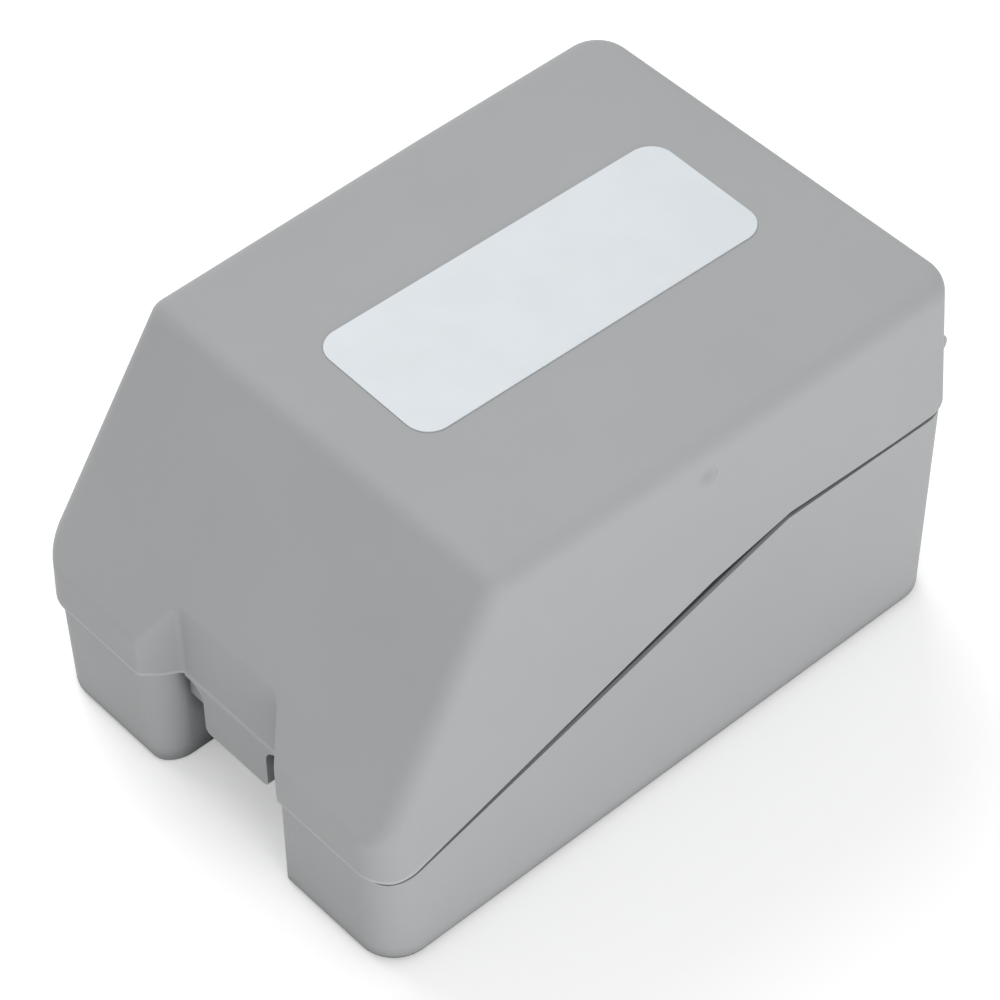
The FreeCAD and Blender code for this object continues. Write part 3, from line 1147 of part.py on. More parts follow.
TIP_Z0 = total(FIBRE_Z, "anvil_rise")
lever = new_body("lever")
side = new_sketch(lever, "lever_side", "XZ_Plane", less("0", SLOT_Y))
polygon(side, (
    (less(FIBRE_X, "tip_length / 2"), total(TIP_Z0, "tip_thick")),
    (total(FIBRE_X, "tip_length / 2"), total(TIP_Z0, "tip_thick")),
    (total(FIBRE_X, "5"), total(ARM_BOTTOM, "2.2")),
    (less(ANVIL_X, "2"), total(ARM_BOTTOM, "1.8")),
    (total(ANVIL_X, "1.6"), total(ANVIL_Z, "-2.2")),
    (total(ANVIL_X, "2.8"), ANVIL_Z),
    (total(ANVIL_X, "1.6"), total(ANVIL_Z, "2.4")),
    (total(FIBRE_X, "5"), less(ARM_TOP, "1.6")),
    (total(FIBRE_X, "button_length / 2"), total(ARM_TOP, "button_rise")),
    (less(FIBRE_X, "button_length / 2"), total(ARM_TOP, "button_rise")),
    (less(FIBRE_X, "button_length / 2"), less(ARM_TOP, "4.5")),
))
last = pad(lever, side, "lever_pad", "anvil_width", middle=True)
button_top = value(total(ARM_TOP, "button_rise"))
last = fillet(lever, last, "button_edges", "button_edge", lambda edge: abs(middle_of(edge).z - button_top) < 0.01)
bore = new_sketch(lever, "lever_bore_side", "XZ_Plane", less("0", SLOT_Y, "anvil_width"))
circle(bore, ANVIL_X, ANVIL_Z, "anvil_pin_dia + 2 * running_gap")
pocket(lever, bore, "lever_bore_cut", "anvil_width * 2", flip=True)
node(lever, "anvil_lever")
node(box("tip", less(FIBRE_X, "tip_length / 2"), total(FIBRE_X, "tip_length / 2"),
         less(SLOT_Y, "tip_width / 2"), total(SLOT_Y, "tip_width / 2"), TIP_Z0, total(TIP_Z0, "tip_thick")), "anvil_tip")
node(rod("anvil_pin_rod", "y", ANVIL_X, less(SLOT_Y, "anvil_width / 2", "anvil_gap", "anvil_pin_end"), ANVIL_Z,
         "anvil_pin_dia / 2", "anvil_width + 2 * anvil_gap + 2 * anvil_pin_end"), "anvil_pin")

# ---------------------------------------------------------------- fibre guide and its flap
GUIDE_TOP = total(FIBRE_Z, "guide_rise")
FLAP_Y0 = total(GUIDE_Y0, "guide_length / 2 - flap_width / 2")
FLAP_Y1 = total(FLAP_Y0, "flap_width")
FLAP_X = less(GUIDE_X1, "flap_barrel", "flap_set")
FLAP_Z = total(GUIDE_TOP, "flap_barrel", "flap_gap")
guide = new_body("guide")
front = new_sketch(guide, "guide_front_face", "XZ_Plane", less("0", GUIDE_Y1))
polygon(front, (
    (GUIDE_X0, GUIDE_Z),
    (GUIDE_X1, GUIDE_Z),
    (GUIDE_X1, GUIDE_TOP),
    (total(FIBRE_X, "groove_width / 2"), GUIDE_TOP),
    (FIBRE_X, total(GUIDE_TOP, "-groove_width * 0.45")),
    (less(FIBRE_X, "groove_width / 2"), GUIDE_TOP),
    (GUIDE_X0, GUIDE_TOP),
))
last = pad(guide, front, "guide_pad", "guide_length")
GUIDE_SCREWS = ((total(GUIDE_X0, "guide_screw_side"), total(GUIDE_Y0, "guide_screw_end")),
                (total(GUIDE_X0, "guide_screw_side"), less(GUIDE_Y1, "guide_screw_end")))
drill(guide, "guide_screw_holes", GUIDE_SCREWS, "guide_hole", GUIDE_TOP, "guide_sink_depth")
guide_lugs = []
for number, y0 in enumerate((less(FLAP_Y0, "side_gap", "flap_lug"), total(FLAP_Y1, "side_gap"))):
    guide_lugs.append(box("guide_lug%d" % number, less(FLAP_X, "flap_barrel"), total(FLAP_X, "flap_barrel"),
                          y0, total(y0, "flap_lug"), less(GUIDE_TOP, "0.5"), FLAP_Z))
    guide_lugs.append(rod("guide_crown%d" % number, "y", FLAP_X, y0, FLAP_Z, "flap_barrel", "flap_lug"))
flap_bore = rod("flap_pin_bore", "y", FLAP_X, less(FLAP_Y0, "10"), FLAP_Z, "flap_pin_dia / 2", "flap_width + 20")
node(cut("fibre_guide_shape", fuse("guide_solid", guide, *guide_lugs), flap_bore), "fibre_guide")
node(hexagon_heads("guide_screw", GUIDE_SCREWS, less(GUIDE_TOP, "guide_sink_depth")), "guide_screws")
flap = new_body("flap")
side = new_sketch(flap, "flap_side", "XZ_Plane", less("0", total(FLAP_Y0, "flap_width / 2")))
polygon(side, (
    (less(GUIDE_X0, "flap_nose"), total(GUIDE_TOP, "flap_gap")),
    (less(FLAP_X, "flap_barrel / 4"), total(GUIDE_TOP, "flap_gap")),
    (less(FLAP_X, "flap_barrel / 10"), total(GUIDE_TOP, "flap_gap", "flap_thick")),
    (total(GUIDE_X0, "flap_lean"), total(GUIDE_TOP, "flap_gap", "flap_thick")),
    (less(GUIDE_X0, "flap_nose"), total(GUIDE_TOP, "flap_gap", "flap_thick * 0.4")),
))
pad(flap, side, "flap_pad", "flap_width", middle=True)
flap_round = rod("flap_round", "y", FLAP_X, FLAP_Y0, FLAP_Z, "flap_barrel", "flap_width")
flap_hole = rod("flap_hole", "y", FLAP_X, less(FLAP_Y0, "1"), FLAP_Z, "flap_pin_dia / 2 + running_gap",
                "flap_width + 2")
node(cut("flap_shape", fuse("flap_solid", flap, flap_round), flap_hole), "guide_flap")
node(rod("flap_pin_rod", "y", FLAP_X, less(FLAP_Y0, "side_gap", "flap_lug"), FLAP_Z, "flap_pin_dia / 2",
         "flap_width + 2 * side_gap + 2 * flap_lug"), "flap_pin")

# ---------------------------------------------------------------- scrap bin and its cover
BIN_Z1 = total(SEAT_Z, "bin_height")
COVER_Y = total(BIN_Y0, "cover_set")
COVER_Z = total(BIN_Z1, "cover_barrel", "cover_gap")
bin_body, last = round_plan("bin", "-bin_width / 2", "bin_width / 2", BIN_Y0, BODY_Y0, SEAT_Z, "bin_height",
                            "bin_round")
hollow = new_sketch(bin_body, "bin_hollow", "XY_Plane", BIN_Z1)
rectangle(hollow, "-(bin_width / 2 - bin_wall)", "bin_width / 2 - bin_wall", total(BIN_Y0, "bin_wall"),
          less(BODY_Y0, "bin_wall"))
pocket(bin_body, hollow, "bin_hollow_cut", "bin_height - bin_wall")
bin_lugs = []
for number, x0 in enumerate(("-bin_width / 2 + bin_lug_side", "bin_width / 2 - bin_lug_side - bin_lug")):
    bin_lugs.append(box("bin_lug%d" % number, x0, total(x0, "bin_lug"), less(COVER_Y, "cover_set"),
                        total(COVER_Y, "cover_barrel"), less(BIN_Z1, "0.5"), COVER_Z))
    bin_lugs.append(rod("bin_crown%d" % number, "x", x0, COVER_Y, COVER_Z, "cover_barrel", "bin_lug"))
bin_bore = rod("bin_pin_bore", "x", "-bin_width", COVER_Y, COVER_Z, "bin_pin_dia / 2", "2 * bin_width")
node(cut("bin_shape", fuse("bin_solid", bin_body, *bin_lugs), bin_bore), "scrap_bin")
cover, last = round_plan("cover", "-(bin_width / 2 - cover_inset)", "bin_width / 2 - cover_inset",
                         total(COVER_Y, "cover_barrel", "cover_set"), less(BODY_Y0, "bin_mouth"),
                         total(BIN_Z1, "cover_gap"), "cover_thick", "cover_round")
tongue_x = "(bin_width / 2 - bin_lug_side - bin_lug - side_gap)"
tongue = box("cover_tongue", "-" + tongue_x, tongue_x, COVER_Y, total(COVER_Y, "cover_barrel", "tongue_run"),
             total(BIN_Z1, "cover_gap"), total(BIN_Z1, "cover_gap", "cover_thick"))
cover_round = rod("cover_round", "x", "-" + tongue_x, COVER_Y, COVER_Z, "cover_barrel", "2 * " + tongue_x)
cover_hole = rod("cover_hole", "x", "-bin_width", COVER_Y, COVER_Z, "bin_pin_dia / 2 + running_gap", "2 * bin_width")
node(cut("cover_shape", fuse("cover_solid", cover, tongue, cover_round), cover_hole), "bin_cover")
node(rod("bin_pin_rod", "x", "-(bin_width / 2 - bin_lug_side)", COVER_Y, COVER_Z, "bin_pin_dia / 2",
         "2 * (bin_width / 2 - bin_lug_side)"), "bin_pin")

# ---------------------------------------------------------------- check and write
doc.recompute()
for obj in doc.Objects:
    if "Invalid" in obj.State or "Error" in obj.State:
        raise ValueError("%s failed: %s" % (obj.Name, obj.State))
for obj in NODES:
    if obj.Shape.isNull() or not obj.Shape.isValid():
        raise ValueError("%s has no valid shape" % obj.Label)
os.makedirs("parts", exist_ok=True)
for obj in NODES:
    obj.Shape.exportStep("parts/%s.step" % obj.Label)
    print("%s: %d solids, %.0f mm3" % (obj.Label, len(obj.Shape.Solids), obj.Shape.Volume))
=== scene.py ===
import math

import bmesh
import bpy
from mathutils import Matrix, Vector


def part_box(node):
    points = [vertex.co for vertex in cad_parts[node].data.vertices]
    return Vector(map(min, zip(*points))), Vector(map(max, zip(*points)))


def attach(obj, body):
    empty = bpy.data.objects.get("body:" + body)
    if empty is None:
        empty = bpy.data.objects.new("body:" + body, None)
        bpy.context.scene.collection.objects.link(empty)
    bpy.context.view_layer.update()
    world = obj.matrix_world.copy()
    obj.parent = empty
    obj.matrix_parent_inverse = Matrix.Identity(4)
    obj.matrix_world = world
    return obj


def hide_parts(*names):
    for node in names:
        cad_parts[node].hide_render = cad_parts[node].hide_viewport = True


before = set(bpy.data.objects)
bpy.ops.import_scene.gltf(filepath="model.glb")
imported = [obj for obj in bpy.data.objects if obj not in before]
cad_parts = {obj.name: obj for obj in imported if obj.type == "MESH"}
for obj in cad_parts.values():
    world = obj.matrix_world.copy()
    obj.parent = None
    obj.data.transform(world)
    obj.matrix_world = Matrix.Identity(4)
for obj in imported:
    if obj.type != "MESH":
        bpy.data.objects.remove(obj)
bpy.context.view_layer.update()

bl_info = {
    "name": "Fibre Cleaver Case",
    "version": (1, 0, 0),
    "blender": (4, 5, 0),
    "location": "View3D > Sidebar > Cleaver Case",
    "description": "Finishes a fibre cleaver in its moulded hard case",
    "category": "Object",
}

MM = 0.001
UP = Vector((0, 0, 1))
WHITE = (1, 1, 1, 1)
# edges sharper than this, in degrees, stay crisp on the pieces made here
SHARP_ANGLE = 32
# the lid's lower edge in millimetres, as its place along the case and its height there: where
# its slope starts, and where it ends
LID_EDGE_START, LID_EDGE_END = (-62.0, 22.75), (6.9, 44.5)


# ---------------------------------------------------------------- colour and node helpers
def linear(code):
    """Turn a hex sRGB colour into the linear colour that a shader socket takes."""
    parts = [int(code[i:i + 2], 16) / 255 for i in (1, 3, 5)]
    flat = (c / 12.92 if c <= 0.04045 else ((c + 0.055) / 1.055) ** 2.4 for c in parts)
    return tuple(flat) + (1.0,)


def add_node(tree, kind, settings=None, links=None, **values):
    """Add one shader node, set its properties and socket values, and link its inputs."""
    node = tree.nodes.new(kind)
    for name, value in (settings or {}).items():
        setattr(node, name, value)
    for name, value in values.items():
        node.inputs[name.replace("_", " ")].default_value = value
    for name, source in (links or {}).items():
        tree.links.new(source, node.inputs[name])
    return node


def new_material(name, color, roughness, **sockets):
    """Start a material whose even values sit straight on its shader."""
    material = bpy.data.materials.new(name)
    material.use_nodes = True
    tree = material.node_tree
    shader = tree.nodes["Principled BSDF"]
    shader.inputs["Base Color"].default_value = linear(color)
    shader.inputs["Roughness"].default_value = roughness
    for socket, value in sockets.items():
        shader.inputs[socket.replace("_", " ")].default_value = value
    return material, tree, shader


def feed(tree, value, socket):
    """Link a socket to an input, or set the input to an even value."""
    if isinstance(value, bpy.types.NodeSocket):
        tree.links.new(value, socket)
    else:
        socket.default_value = value


def calculate(tree, operation, *values):
    """One maths node on sockets or numbers."""
    node = add_node(tree, "ShaderNodeMath", {"operation": operation})
    for value, socket in zip(values, node.inputs):
        feed(tree, value, socket)
    return node.outputs[0]


def remap(tree, source, start, end, low, high):
    """Spread a value that runs from start to end over low to high."""
    return add_node(tree, "ShaderNodeMapRange", links={"Value": source}, From_Min=start,
                    From_Max=end, To_Min=low, To_Max=high).outputs["Result"]


def noise(tree, scale_mm, detail, stretch=(1, 1, 1)):
    """A noise pattern on object coordinates, its features the given millimetres across."""
    coords = add_node(tree, "ShaderNodeTexCoord")
    size = 1 / (scale_mm * MM)
    place = add_node(tree, "ShaderNodeMapping", links={"Vector": coords.outputs["Object"]},
                     Scale=tuple(size * s for s in stretch))
    return add_node(tree, "ShaderNodeTexNoise", links={"Vector": place.outputs["Vector"]},
                    Scale=1.0, Detail=detail, Roughness=0.5).outputs["Fac"]


def two_colors(tree, source, low, color_low, high, color_high):
    """A ramp from one linear colour to another."""
    ramp = add_node(tree, "ShaderNodeValToRGB", links={"Fac": source})
    first, last = ramp.color_ramp.elements
    first.position, first.color = low, color_low
    last.position, last.color = high, color_high
    return ramp.outputs["Color"]


def vary(tree, shader, scale_mm, color_a, color_b, low=0.35, high=0.65):
    """Drive the base colour softly between two near colours."""
    color = two_colors(tree, noise(tree, scale_mm, 3.0), low, linear(color_a), high,
                       linear(color_b))
    tree.links.new(color, shader.inputs["Base Color"])


def tint(tree, shader, blend, color, factor):
    """Blend one more colour over the base colour. Both may be sockets or even values."""
    base = shader.inputs["Base Color"]
    # the mix node's colour sockets have no names of their own: 0 is the factor, 6 and 7 are the
    # two colours, and output 2 is the result
    mix = add_node(tree, "ShaderNodeMix", {"data_type": "RGBA", "blend_type": blend})
    tree.links.new(base.links[0].from_socket, mix.inputs[6])
    feed(tree, factor, mix.inputs[0])
    feed(tree, color, mix.inputs[7])
    tree.links.new(mix.outputs[2], base)


def bump(tree, shader, height, distance_mm, strength, normal=None):
    """Raise the surface by a height pattern, with its depth in millimetres."""
    links = {"Height": height}
    if normal is not None:
        links["Normal"] = normal
    node = add_node(tree, "ShaderNodeBump", links=links, Strength=strength,
                    Distance=distance_mm * MM)
    tree.links.new(node.outputs["Normal"], shader.inputs["Normal"])
    return node.outputs["Normal"]


# ---------------------------------------------------------------- finishes
def soil(tree, shader, reach_mm, dark, low, high, own=False):
    """Painted shade: darken seams, gaps between parts and inner corners by a colour multiplied in
    by ambient occlusion.
    """
    hollow = add_node(tree, "ShaderNodeAmbientOcclusion", {"samples": 12, "only_local": own},
                      Distance=reach_mm * MM)
    color = two_colors(tree, hollow.outputs["AO"], low, linear(dark), high, WHITE)
    tint(tree, shader, "MULTIPLY", color, 1.0)


def trimmed_edge(tree, shader, color):
    """A painted highlight along the lid's lower edge: a band 0.7 mm high, paler than the wall."""
    coords = add_node(tree, "ShaderNodeTexCoord")
    parts = add_node(tree, "ShaderNodeSeparateXYZ", links={"Vector": coords.outputs["Object"]})
    (start, low), (end, high) = LID_EDGE_START, LID_EDGE_END
    edge = remap(tree, parts.outputs["Y"], start * MM, end * MM, low * MM, high * MM)
    height = calculate(tree, "ABSOLUTE", calculate(tree, "SUBTRACT", parts.outputs["Z"], edge))
    band = remap(tree, height, 0.4 * MM, 0.75 * MM, 0.5, 0.0)
    # the painted highlight is strongest at the front and fades out 12 mm behind it
    front = remap(tree, parts.outputs["Y"], start * MM, (start + 12) * MM, 1.0, 0.0)
    tint(tree, shader, "MIX", linear(color), calculate(tree, "MULTIPLY", band, front))


def gate_mark(tree, shader, center_mm, reach_mm, color):
    """Painted shade at the shallow dimple in the lid's side: a soft darker spot a few millimetres
    across.
    """
    coords = add_node(tree, "ShaderNodeTexCoord")
    away = add_node(tree, "ShaderNodeVectorMath", {"operation": "DISTANCE"})
    tree.links.new(coords.outputs["Object"], away.inputs[0])
    away.inputs[1].default_value = [c * MM for c in center_mm]
    spot = remap(tree, away.outputs["Value"], 0.3 * reach_mm * MM, reach_mm * MM, 0.4, 0.0)
    tint(tree, shader, "MIX", linear(color), spot)


def moulded_abs(color, warm, lid=False):
    """ABS, injection moulded in a spark-eroded tool: a fine matt grain spreads highlights."""
    name = "abs_moulded_matt_painted_light" if lid else "abs_moulded_matt"
    material, tree, shader = new_material(name, color, 0.62, IOR=1.53, Specular_IOR_Level=0.22)
    # clouding of the pigment is about 35 mm across and barely shows
    vary(tree, shader, 35, warm, color, low=0.3, high=0.7)
    # painted shade: the seam between the rims, and other gaps and corners within 7 mm, darken
    # towards dark grey by ambient occlusion
    soil(tree, shader, 7, "#6E6F70", 0.12, 0.75)
    if lid:
        # painted shade: the hollow round the thumb tab, and the lid's other inner corners, grey
        # over about 20 mm by the lid's own ambient occlusion
        soil(tree, shader, 20, "#D2D4D5", 0.5, 0.95, own=True)
        # painted highlight: a paler band along the lid's lower edge
        trimmed_edge(tree, shader, "#C2C4C5")
        # painted shade: a soft darker spot at the shallow dimple in the lid's right side
        gate_mark(tree, shader, (44.3, 5.9, 68.7), 2.4, "#8F9192")
    else:
        # painted shade: the notch behind the tab, and the inside, grey over about 18 mm by ambient
        # occlusion
        soil(tree, shader, 18, "#A4A5A6", 0.2, 0.55)
    # the real grain is about 0.06 mm; it is drawn at 0.35 mm so that it shows
    first = bump(tree, shader, noise(tree, 0.35, 2.0), 0.012, 0.35)
    # sink and flow waviness of a moulded wall, 18 mm across
    bump(tree, shader, noise(tree, 18, 1.0), 0.08, 0.3, normal=first)
    return material


def label_film(color):
    """Polyester label film, coated and die cut: smooth, faintly glossy and slightly cool."""
    material, tree, shader = new_material("polyester_film_white", color, 0.32, IOR=1.5)
    vary(tree, shader, 9, "#D5DBDF", color)
    # orange peel of the adhesive under the film, 2.5 mm across
    bump(tree, shader, noise(tree, 2.5, 1.0), 0.01, 0.4)
    return material


def metal(name, color, other, roughness, grain_mm, stretch, depth_mm, spread=0.08):
    """A metal with tool marks. A stretch below 1 draws them out along that axis."""
    material, tree, shader = new_material(name, color, roughness, Metallic=1.0)
    vary(tree, shader, 6, other, color)
    # real tool marks are about 0.02 to 0.05 mm wide; they are drawn coarser so that they show
    marks = noise(tree, grain_mm, 4.0, stretch)
    even = remap(tree, marks, 0.0, 1.0, roughness - spread, roughness + spread)
    tree.links.new(even, shader.inputs["Roughness"])
    bump(tree, shader, marks, depth_mm, 0.5)
    return material


def coated(name, color, other, roughness, grain_mm, depth_mm, **sockets):
    """A paint, anodised layer, plastic, ink or rubber with an even fine grain."""
    material, tree, shader = new_material(name, color, roughness, **sockets)
    vary(tree, shader, 12, other, color)
    # real grain of these is about 0.02 to 0.1 mm; it is drawn coarser so that it shows
    bump(tree, shader, noise(tree, grain_mm, 2.0), depth_mm, 0.6)
    return material


def clear_cover():
    """Polycarbonate, moulded in a polished tool: clear and glossy, with a faint smoke tint."""
    material, tree, shader = new_material("polycarbonate_clear", "#D9E0E4", 0.06, IOR=1.585,
                                          Transmission_Weight=0.92)
    bump(tree, shader, noise(tree, 7, 1.0), 0.01, 0.3)
    return material


FINISHES = {}


def finishes():
    """Build each finish once."""
    if FINISHES:
        return FINISHES
    case = bpy.context.scene.cleaver_case
    FINISHES["shell"] = moulded_abs(case.shell_color, case.shell_shade)
    FINISHES["lid"] = moulded_abs(case.shell_color, case.shell_shade, lid=True)
    FINISHES["label"] = label_film(case.label_color)
    # grinding leaves fine lines one way, so a highlight smears across them
    FINISHES["steel"] = metal(
        "steel_ground", "#B4B5B7", "#A8A9AB", 0.3, 0.5, (1, 1, 0.08), 0.004)
    # ground along the travel, finer and brighter than the pins
    FINISHES["rail"] = metal(
        "rail_steel_ground", "#C4C6C8", "#B6B8BA", 0.24, 0.4, (0.05, 1, 1), 0.003)
    # zinc plate follows the turned head and softens it to a satin grey
    FINISHES["screw"] = metal(
        "steel_zinc_plated", "#B9BBBA", "#A6A8A6", 0.34, 0.6, (1, 1, 1), 0.006)
    # bright nickel levels the surface: a warm, nearly clear mirror
    FINISHES["magnet"] = metal(
        "nickel_plated", "#D6D4CF", "#CDCAC4", 0.16, 0.9, (1, 1, 1), 0.002, 0.04)
    # anodising keeps the milling lines and dulls them to a pale satin
    FINISHES["alu"] = metal(
        "aluminium_clear_anodised", "#C9CBCD", "#BEC0C3", 0.36, 0.35, (0.06, 1, 1), 0.005)
    # diamond ground carbide: darker than steel, with tight highlights
    FINISHES["blade"] = metal(
        "tungsten_carbide_ground", "#8E9196", "#7F8287", 0.22, 0.3, (1, 1, 1), 0.003)
    # bead blasting before the black layer breaks every highlight into a soft sheen
    FINISHES["body"] = coated(
        "aluminium_blasted_black", "#26292E", "#2C2F34", 0.46, 0.3, 0.012, Metallic=0.35)
    # anodised without blasting: a little smoother and darker than the body
    FINISHES["plate"] = coated(
        "aluminium_black_anodised", "#1F2124", "#24272A", 0.4, 0.4, 0.006, Metallic=0.4)
    # cured powder stands in small beads, so light catches on a rough black
    FINISHES["arm"] = coated(
        "powder_coat_textured", "#1B1D20", "#202226", 0.55, 0.45, 0.03)
    # dyed anodising lets the metal shine through the red
    FINISHES["lever"] = coated(
        "aluminium_red_anodised", "#A3231C", "#96201A", 0.33, 0.4, 0.005, Metallic=0.85)
    # sheet drawn over a mould: a dull, faintly uneven skin
    FINISHES["tray"] = coated(
        "polystyrene_vacuum_formed", "#2B2C2E", "#303133", 0.5, 0.6, 0.01, IOR=1.55)
    # moulded black with the tool's grain, so its highlights stay weak
    FINISHES["bin"] = coated(
        "abs_moulded_black", "#242527", "#28292B", 0.48, 0.35, 0.012, IOR=1.53)
    # moulded rubber takes nearly all light and shows no clear highlight
    FINISHES["rubber"] = coated(
        "rubber_moulded", "#151515", "#1A1A1A", 0.72, 0.3, 0.015, IOR=1.52)
    # drawing polishes the wire, so each coil carries a thin bright line
    FINISHES["wire"] = metal(
        "steel_spring_drawn", "#9FA1A3", "#8F9193", 0.26, 0.4, (1, 1, 1), 0.003)
    # fired ink lies flat and dull in the marks
    FINISHES["ink"] = coated("ink_fired_black", "#1C1D1E", "#232425", 0.6, 0.4, 0.002)
    FINISHES["cover"] = clear_cover()
    return FINISHES


def finish_node(node, key):
    """Give a carried-over CAD piece its finish."""
    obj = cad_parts[node]
    obj.data.materials.clear()
    obj.data.materials.append(finishes()[key])
    return obj


# ---------------------------------------------------------------- mesh helpers
def place_piece(name, work, key, body, nodes=()):
    """Turn a finished bmesh in millimetres into a piece that rides on a body."""
    bmesh.ops.recalc_face_normals(work, faces=work.faces[:])
    bmesh.ops.scale(work, vec=(MM, MM, MM), verts=work.verts[:])
    mesh = bpy.data.meshes.new(name)
    work.to_mesh(mesh)
    work.free()
    mesh.materials.append(finishes()[key])
    obj = bpy.data.objects.new(name, mesh)
    bpy.context.scene.collection.objects.link(obj)
    for face in mesh.polygons:
        face.use_smooth = True
    mesh.set_sharp_from_angle(angle=math.radians(SHARP_ANGLE))
    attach(obj, body)
    if nodes:
        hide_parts(*nodes)
    return obj


def solids_of(node):
    """Lowest and highest corners in millimetres of each separate solid of a node."""
    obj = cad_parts[node]
    work = bmesh.new()
    work.from_mesh(obj.data)
    work.transform(obj.matrix_world)
    bmesh.ops.remove_doubles(work, verts=work.verts[:], dist=1e-7)
    left, found = set(work.verts), []
    while left:
        queue = [left.pop()]
        group = list(queue)
        while queue:
            for edge in queue.pop().link_edges:
                for vert in edge.verts:
                    if vert in left:
                        left.remove(vert)
                        queue.append(vert)
                        group.append(vert)
        low = Vector(min(v.co[i] for v in group) for i in range(3)) / MM
        high = Vector(max(v.co[i] for v in group) for i in range(3)) / MM
        found.append((low, high))
    work.free()
    return sorted(found, key=lambda pair: tuple(pair[0]))


def ring_radius(radius, sides, turn):
    """Distance of a ring's edge from its middle: a circle, or a hexagon given by its flats."""
    if sides == 0:
        return radius
    sector = math.tau / sides
    return radius / math.cos((turn % sector) - sector / 2)


def bridge(work, loops):
    """Join a row of loops by faces and close both ends."""
    count = len(loops[0])
    for low, high in zip(loops, loops[1:]):
        for i in range(count):
            j = (i + 1) % count
            work.faces.new((low[i], low[j], high[j], high[i]))
    work.faces.new(loops[0])
    work.faces.new(loops[-1])


def turned(work, middle, axis, rings, count=36):
    """A closed form round an axis. Each ring has a height, a radius, and 0 sides or 6."""
    spin = axis.to_track_quat("Z", "Y").to_matrix()
    loops = []
    for height, radius, sides in rings:
        loop = []
        for i in range(count):
            turn = math.tau * i / count
            reach = ring_radius(radius, sides, turn)
            point = Vector((math.cos(turn) * reach, math.sin(turn) * reach, height))
            loop.append(work.verts.new(middle + spin @ point))
        loops.append(loop)
    bridge(work, loops)


def socket_screw(work, middle, axis, radius, length):
    """A cylindrical screw with a broken edge and a hexagon socket, its face at the length."""
    flats, depth, edge = radius * 0.5, min(radius * 0.6, length * 0.6), radius * 0.12
    turned(work, middle, axis, (
        (0, radius, 0), (length - edge, radius, 0), (length, radius - edge, 0),
        (length, flats * 1.25, 0), (length - edge * 0.6, flats, 6), (length - depth, flats, 6),
    ))


def hexagon_screw(work, middle, axis, corner, height):
    """A small hexagon head whose upper corners are turned away, with a slight dimple."""
    flats = corner * math.cos(math.pi / 6)
    turned(work, middle, axis, (
        (0, flats, 6), (height * 0.66, flats, 6), (height * 0.94, flats * 0.98, 0),
        (height, flats * 0.86, 0), (height, flats * 0.5, 0), (height * 0.82, flats * 0.36, 0),
    ))


def tube(work, points, radius, sides=10):
    """A round wire along a line of points."""
    forward = (points[1] - points[0]).normalized()
    across = forward.orthogonal().normalized()
    loops = []
    for i, point in enumerate(points):
        ahead = (points[min(i + 1, len(points) - 1)] - points[max(i - 1, 0)]).normalized()
        across = (across - ahead * across.dot(ahead)).normalized()
        beside = ahead.cross(across)
        loops.append([work.verts.new(point + radius * (math.cos(a) * across + math.sin(a) * beside))
                      for a in (math.tau * k / sides for k in range(sides))])
    bridge(work, loops)


def slab(work, low, high):
    """A thin flat bar with square edges, for printed and engraved marks."""
    plan = ((low[0], low[1]), (high[0], low[1]), (high[0], high[1]), (low[0], high[1]))
    corners = [work.verts.new((x, y, z)) for z in (low[2], high[2]) for x, y in plan]
    for face in ((3, 2, 1, 0), (4, 5, 6, 7), (0, 1, 5, 4), (1, 2, 6, 5), (2, 3, 7, 6),
                 (3, 0, 4, 7)):
        work.faces.new([corners[i] for i in face])


def figure(work, text, height, matrix):
    """A number in thin raised lettering, set in place by a matrix in millimetres."""
    curve = bpy.data.curves.new("figure", "FONT")
    curve.body = text
    curve.size = height
    curve.align_x = "CENTER"
    curve.align_y = "CENTER"
    curve.extrude = 0.01
    curve.resolution_u = 3
    holder = bpy.data.objects.new("figure", curve)
    mesh = bpy.data.meshes.new_from_object(holder)
    mesh.transform(matrix)
    work.from_mesh(mesh)
    bpy.data.objects.remove(holder)
    bpy.data.curves.remove(curve)
    bpy.data.meshes.remove(mesh)


# ---------------------------------------------------------------- settings
class CleaverCaseSettings(bpy.types.PropertyGroup):
    shell_color: bpy.props.StringProperty(
        name="Shell colour", description="Hex colour of the moulded case", default="#A9ABAC")
    shell_shade: bpy.props.StringProperty(
        name="Shell clouding", description="Second hex colour of the moulded case",
        default="#A6A8A9")
    label_color: bpy.props.StringProperty(
        name="Label colour", description="Hex colour of the bare label", default="#D8DEE2")
    focal_length: bpy.props.FloatProperty(
        name="Focal length", description="Camera lens in millimetres", default=141.03, min=10)
    rim_drop: bpy.props.FloatProperty(
        name="Rim drop", description="How much lower the base's rim lies at the front",
        default=0.0016, min=0, max=0.002, unit="LENGTH")
    rim_drop_rear: bpy.props.FloatProperty(
        name="Rear rim drop", description="How much lower the base's rim lies at the back",
        default=0.0005, min=0, max=0.001, unit="LENGTH")
    spring_wire: bpy.props.FloatProperty(
        name="Spring wire", description="Diameter of the arm spring's wire", default=0.001,
        min=0.0004, max=0.0012, unit="LENGTH")
    wheel_positions: bpy.props.IntProperty(
        name="Wheel positions", description="Numbered cutting positions round the blade wheel",
        default=16, min=8, max=24)
    key_level: bpy.props.FloatProperty(
        name="Key light", description="Strength of the wide light over the left side",
        default=1.46, min=0)
    side_power: bpy.props.FloatProperty(
        name="Side light", description="Strength of the low softbox on the right", default=6.5,
        min=0, unit="POWER")
    sky_level: bpy.props.FloatProperty(
        name="Sky level", description="Strength of the even surrounding light", default=0.575,
        min=0)


# ---------------------------------------------------------------- operators
def ratio(value, start, end):
    """How far a value lies from start to end, held between 0 and 1."""
    return min(max((value - start) / (end - start), 0), 1)


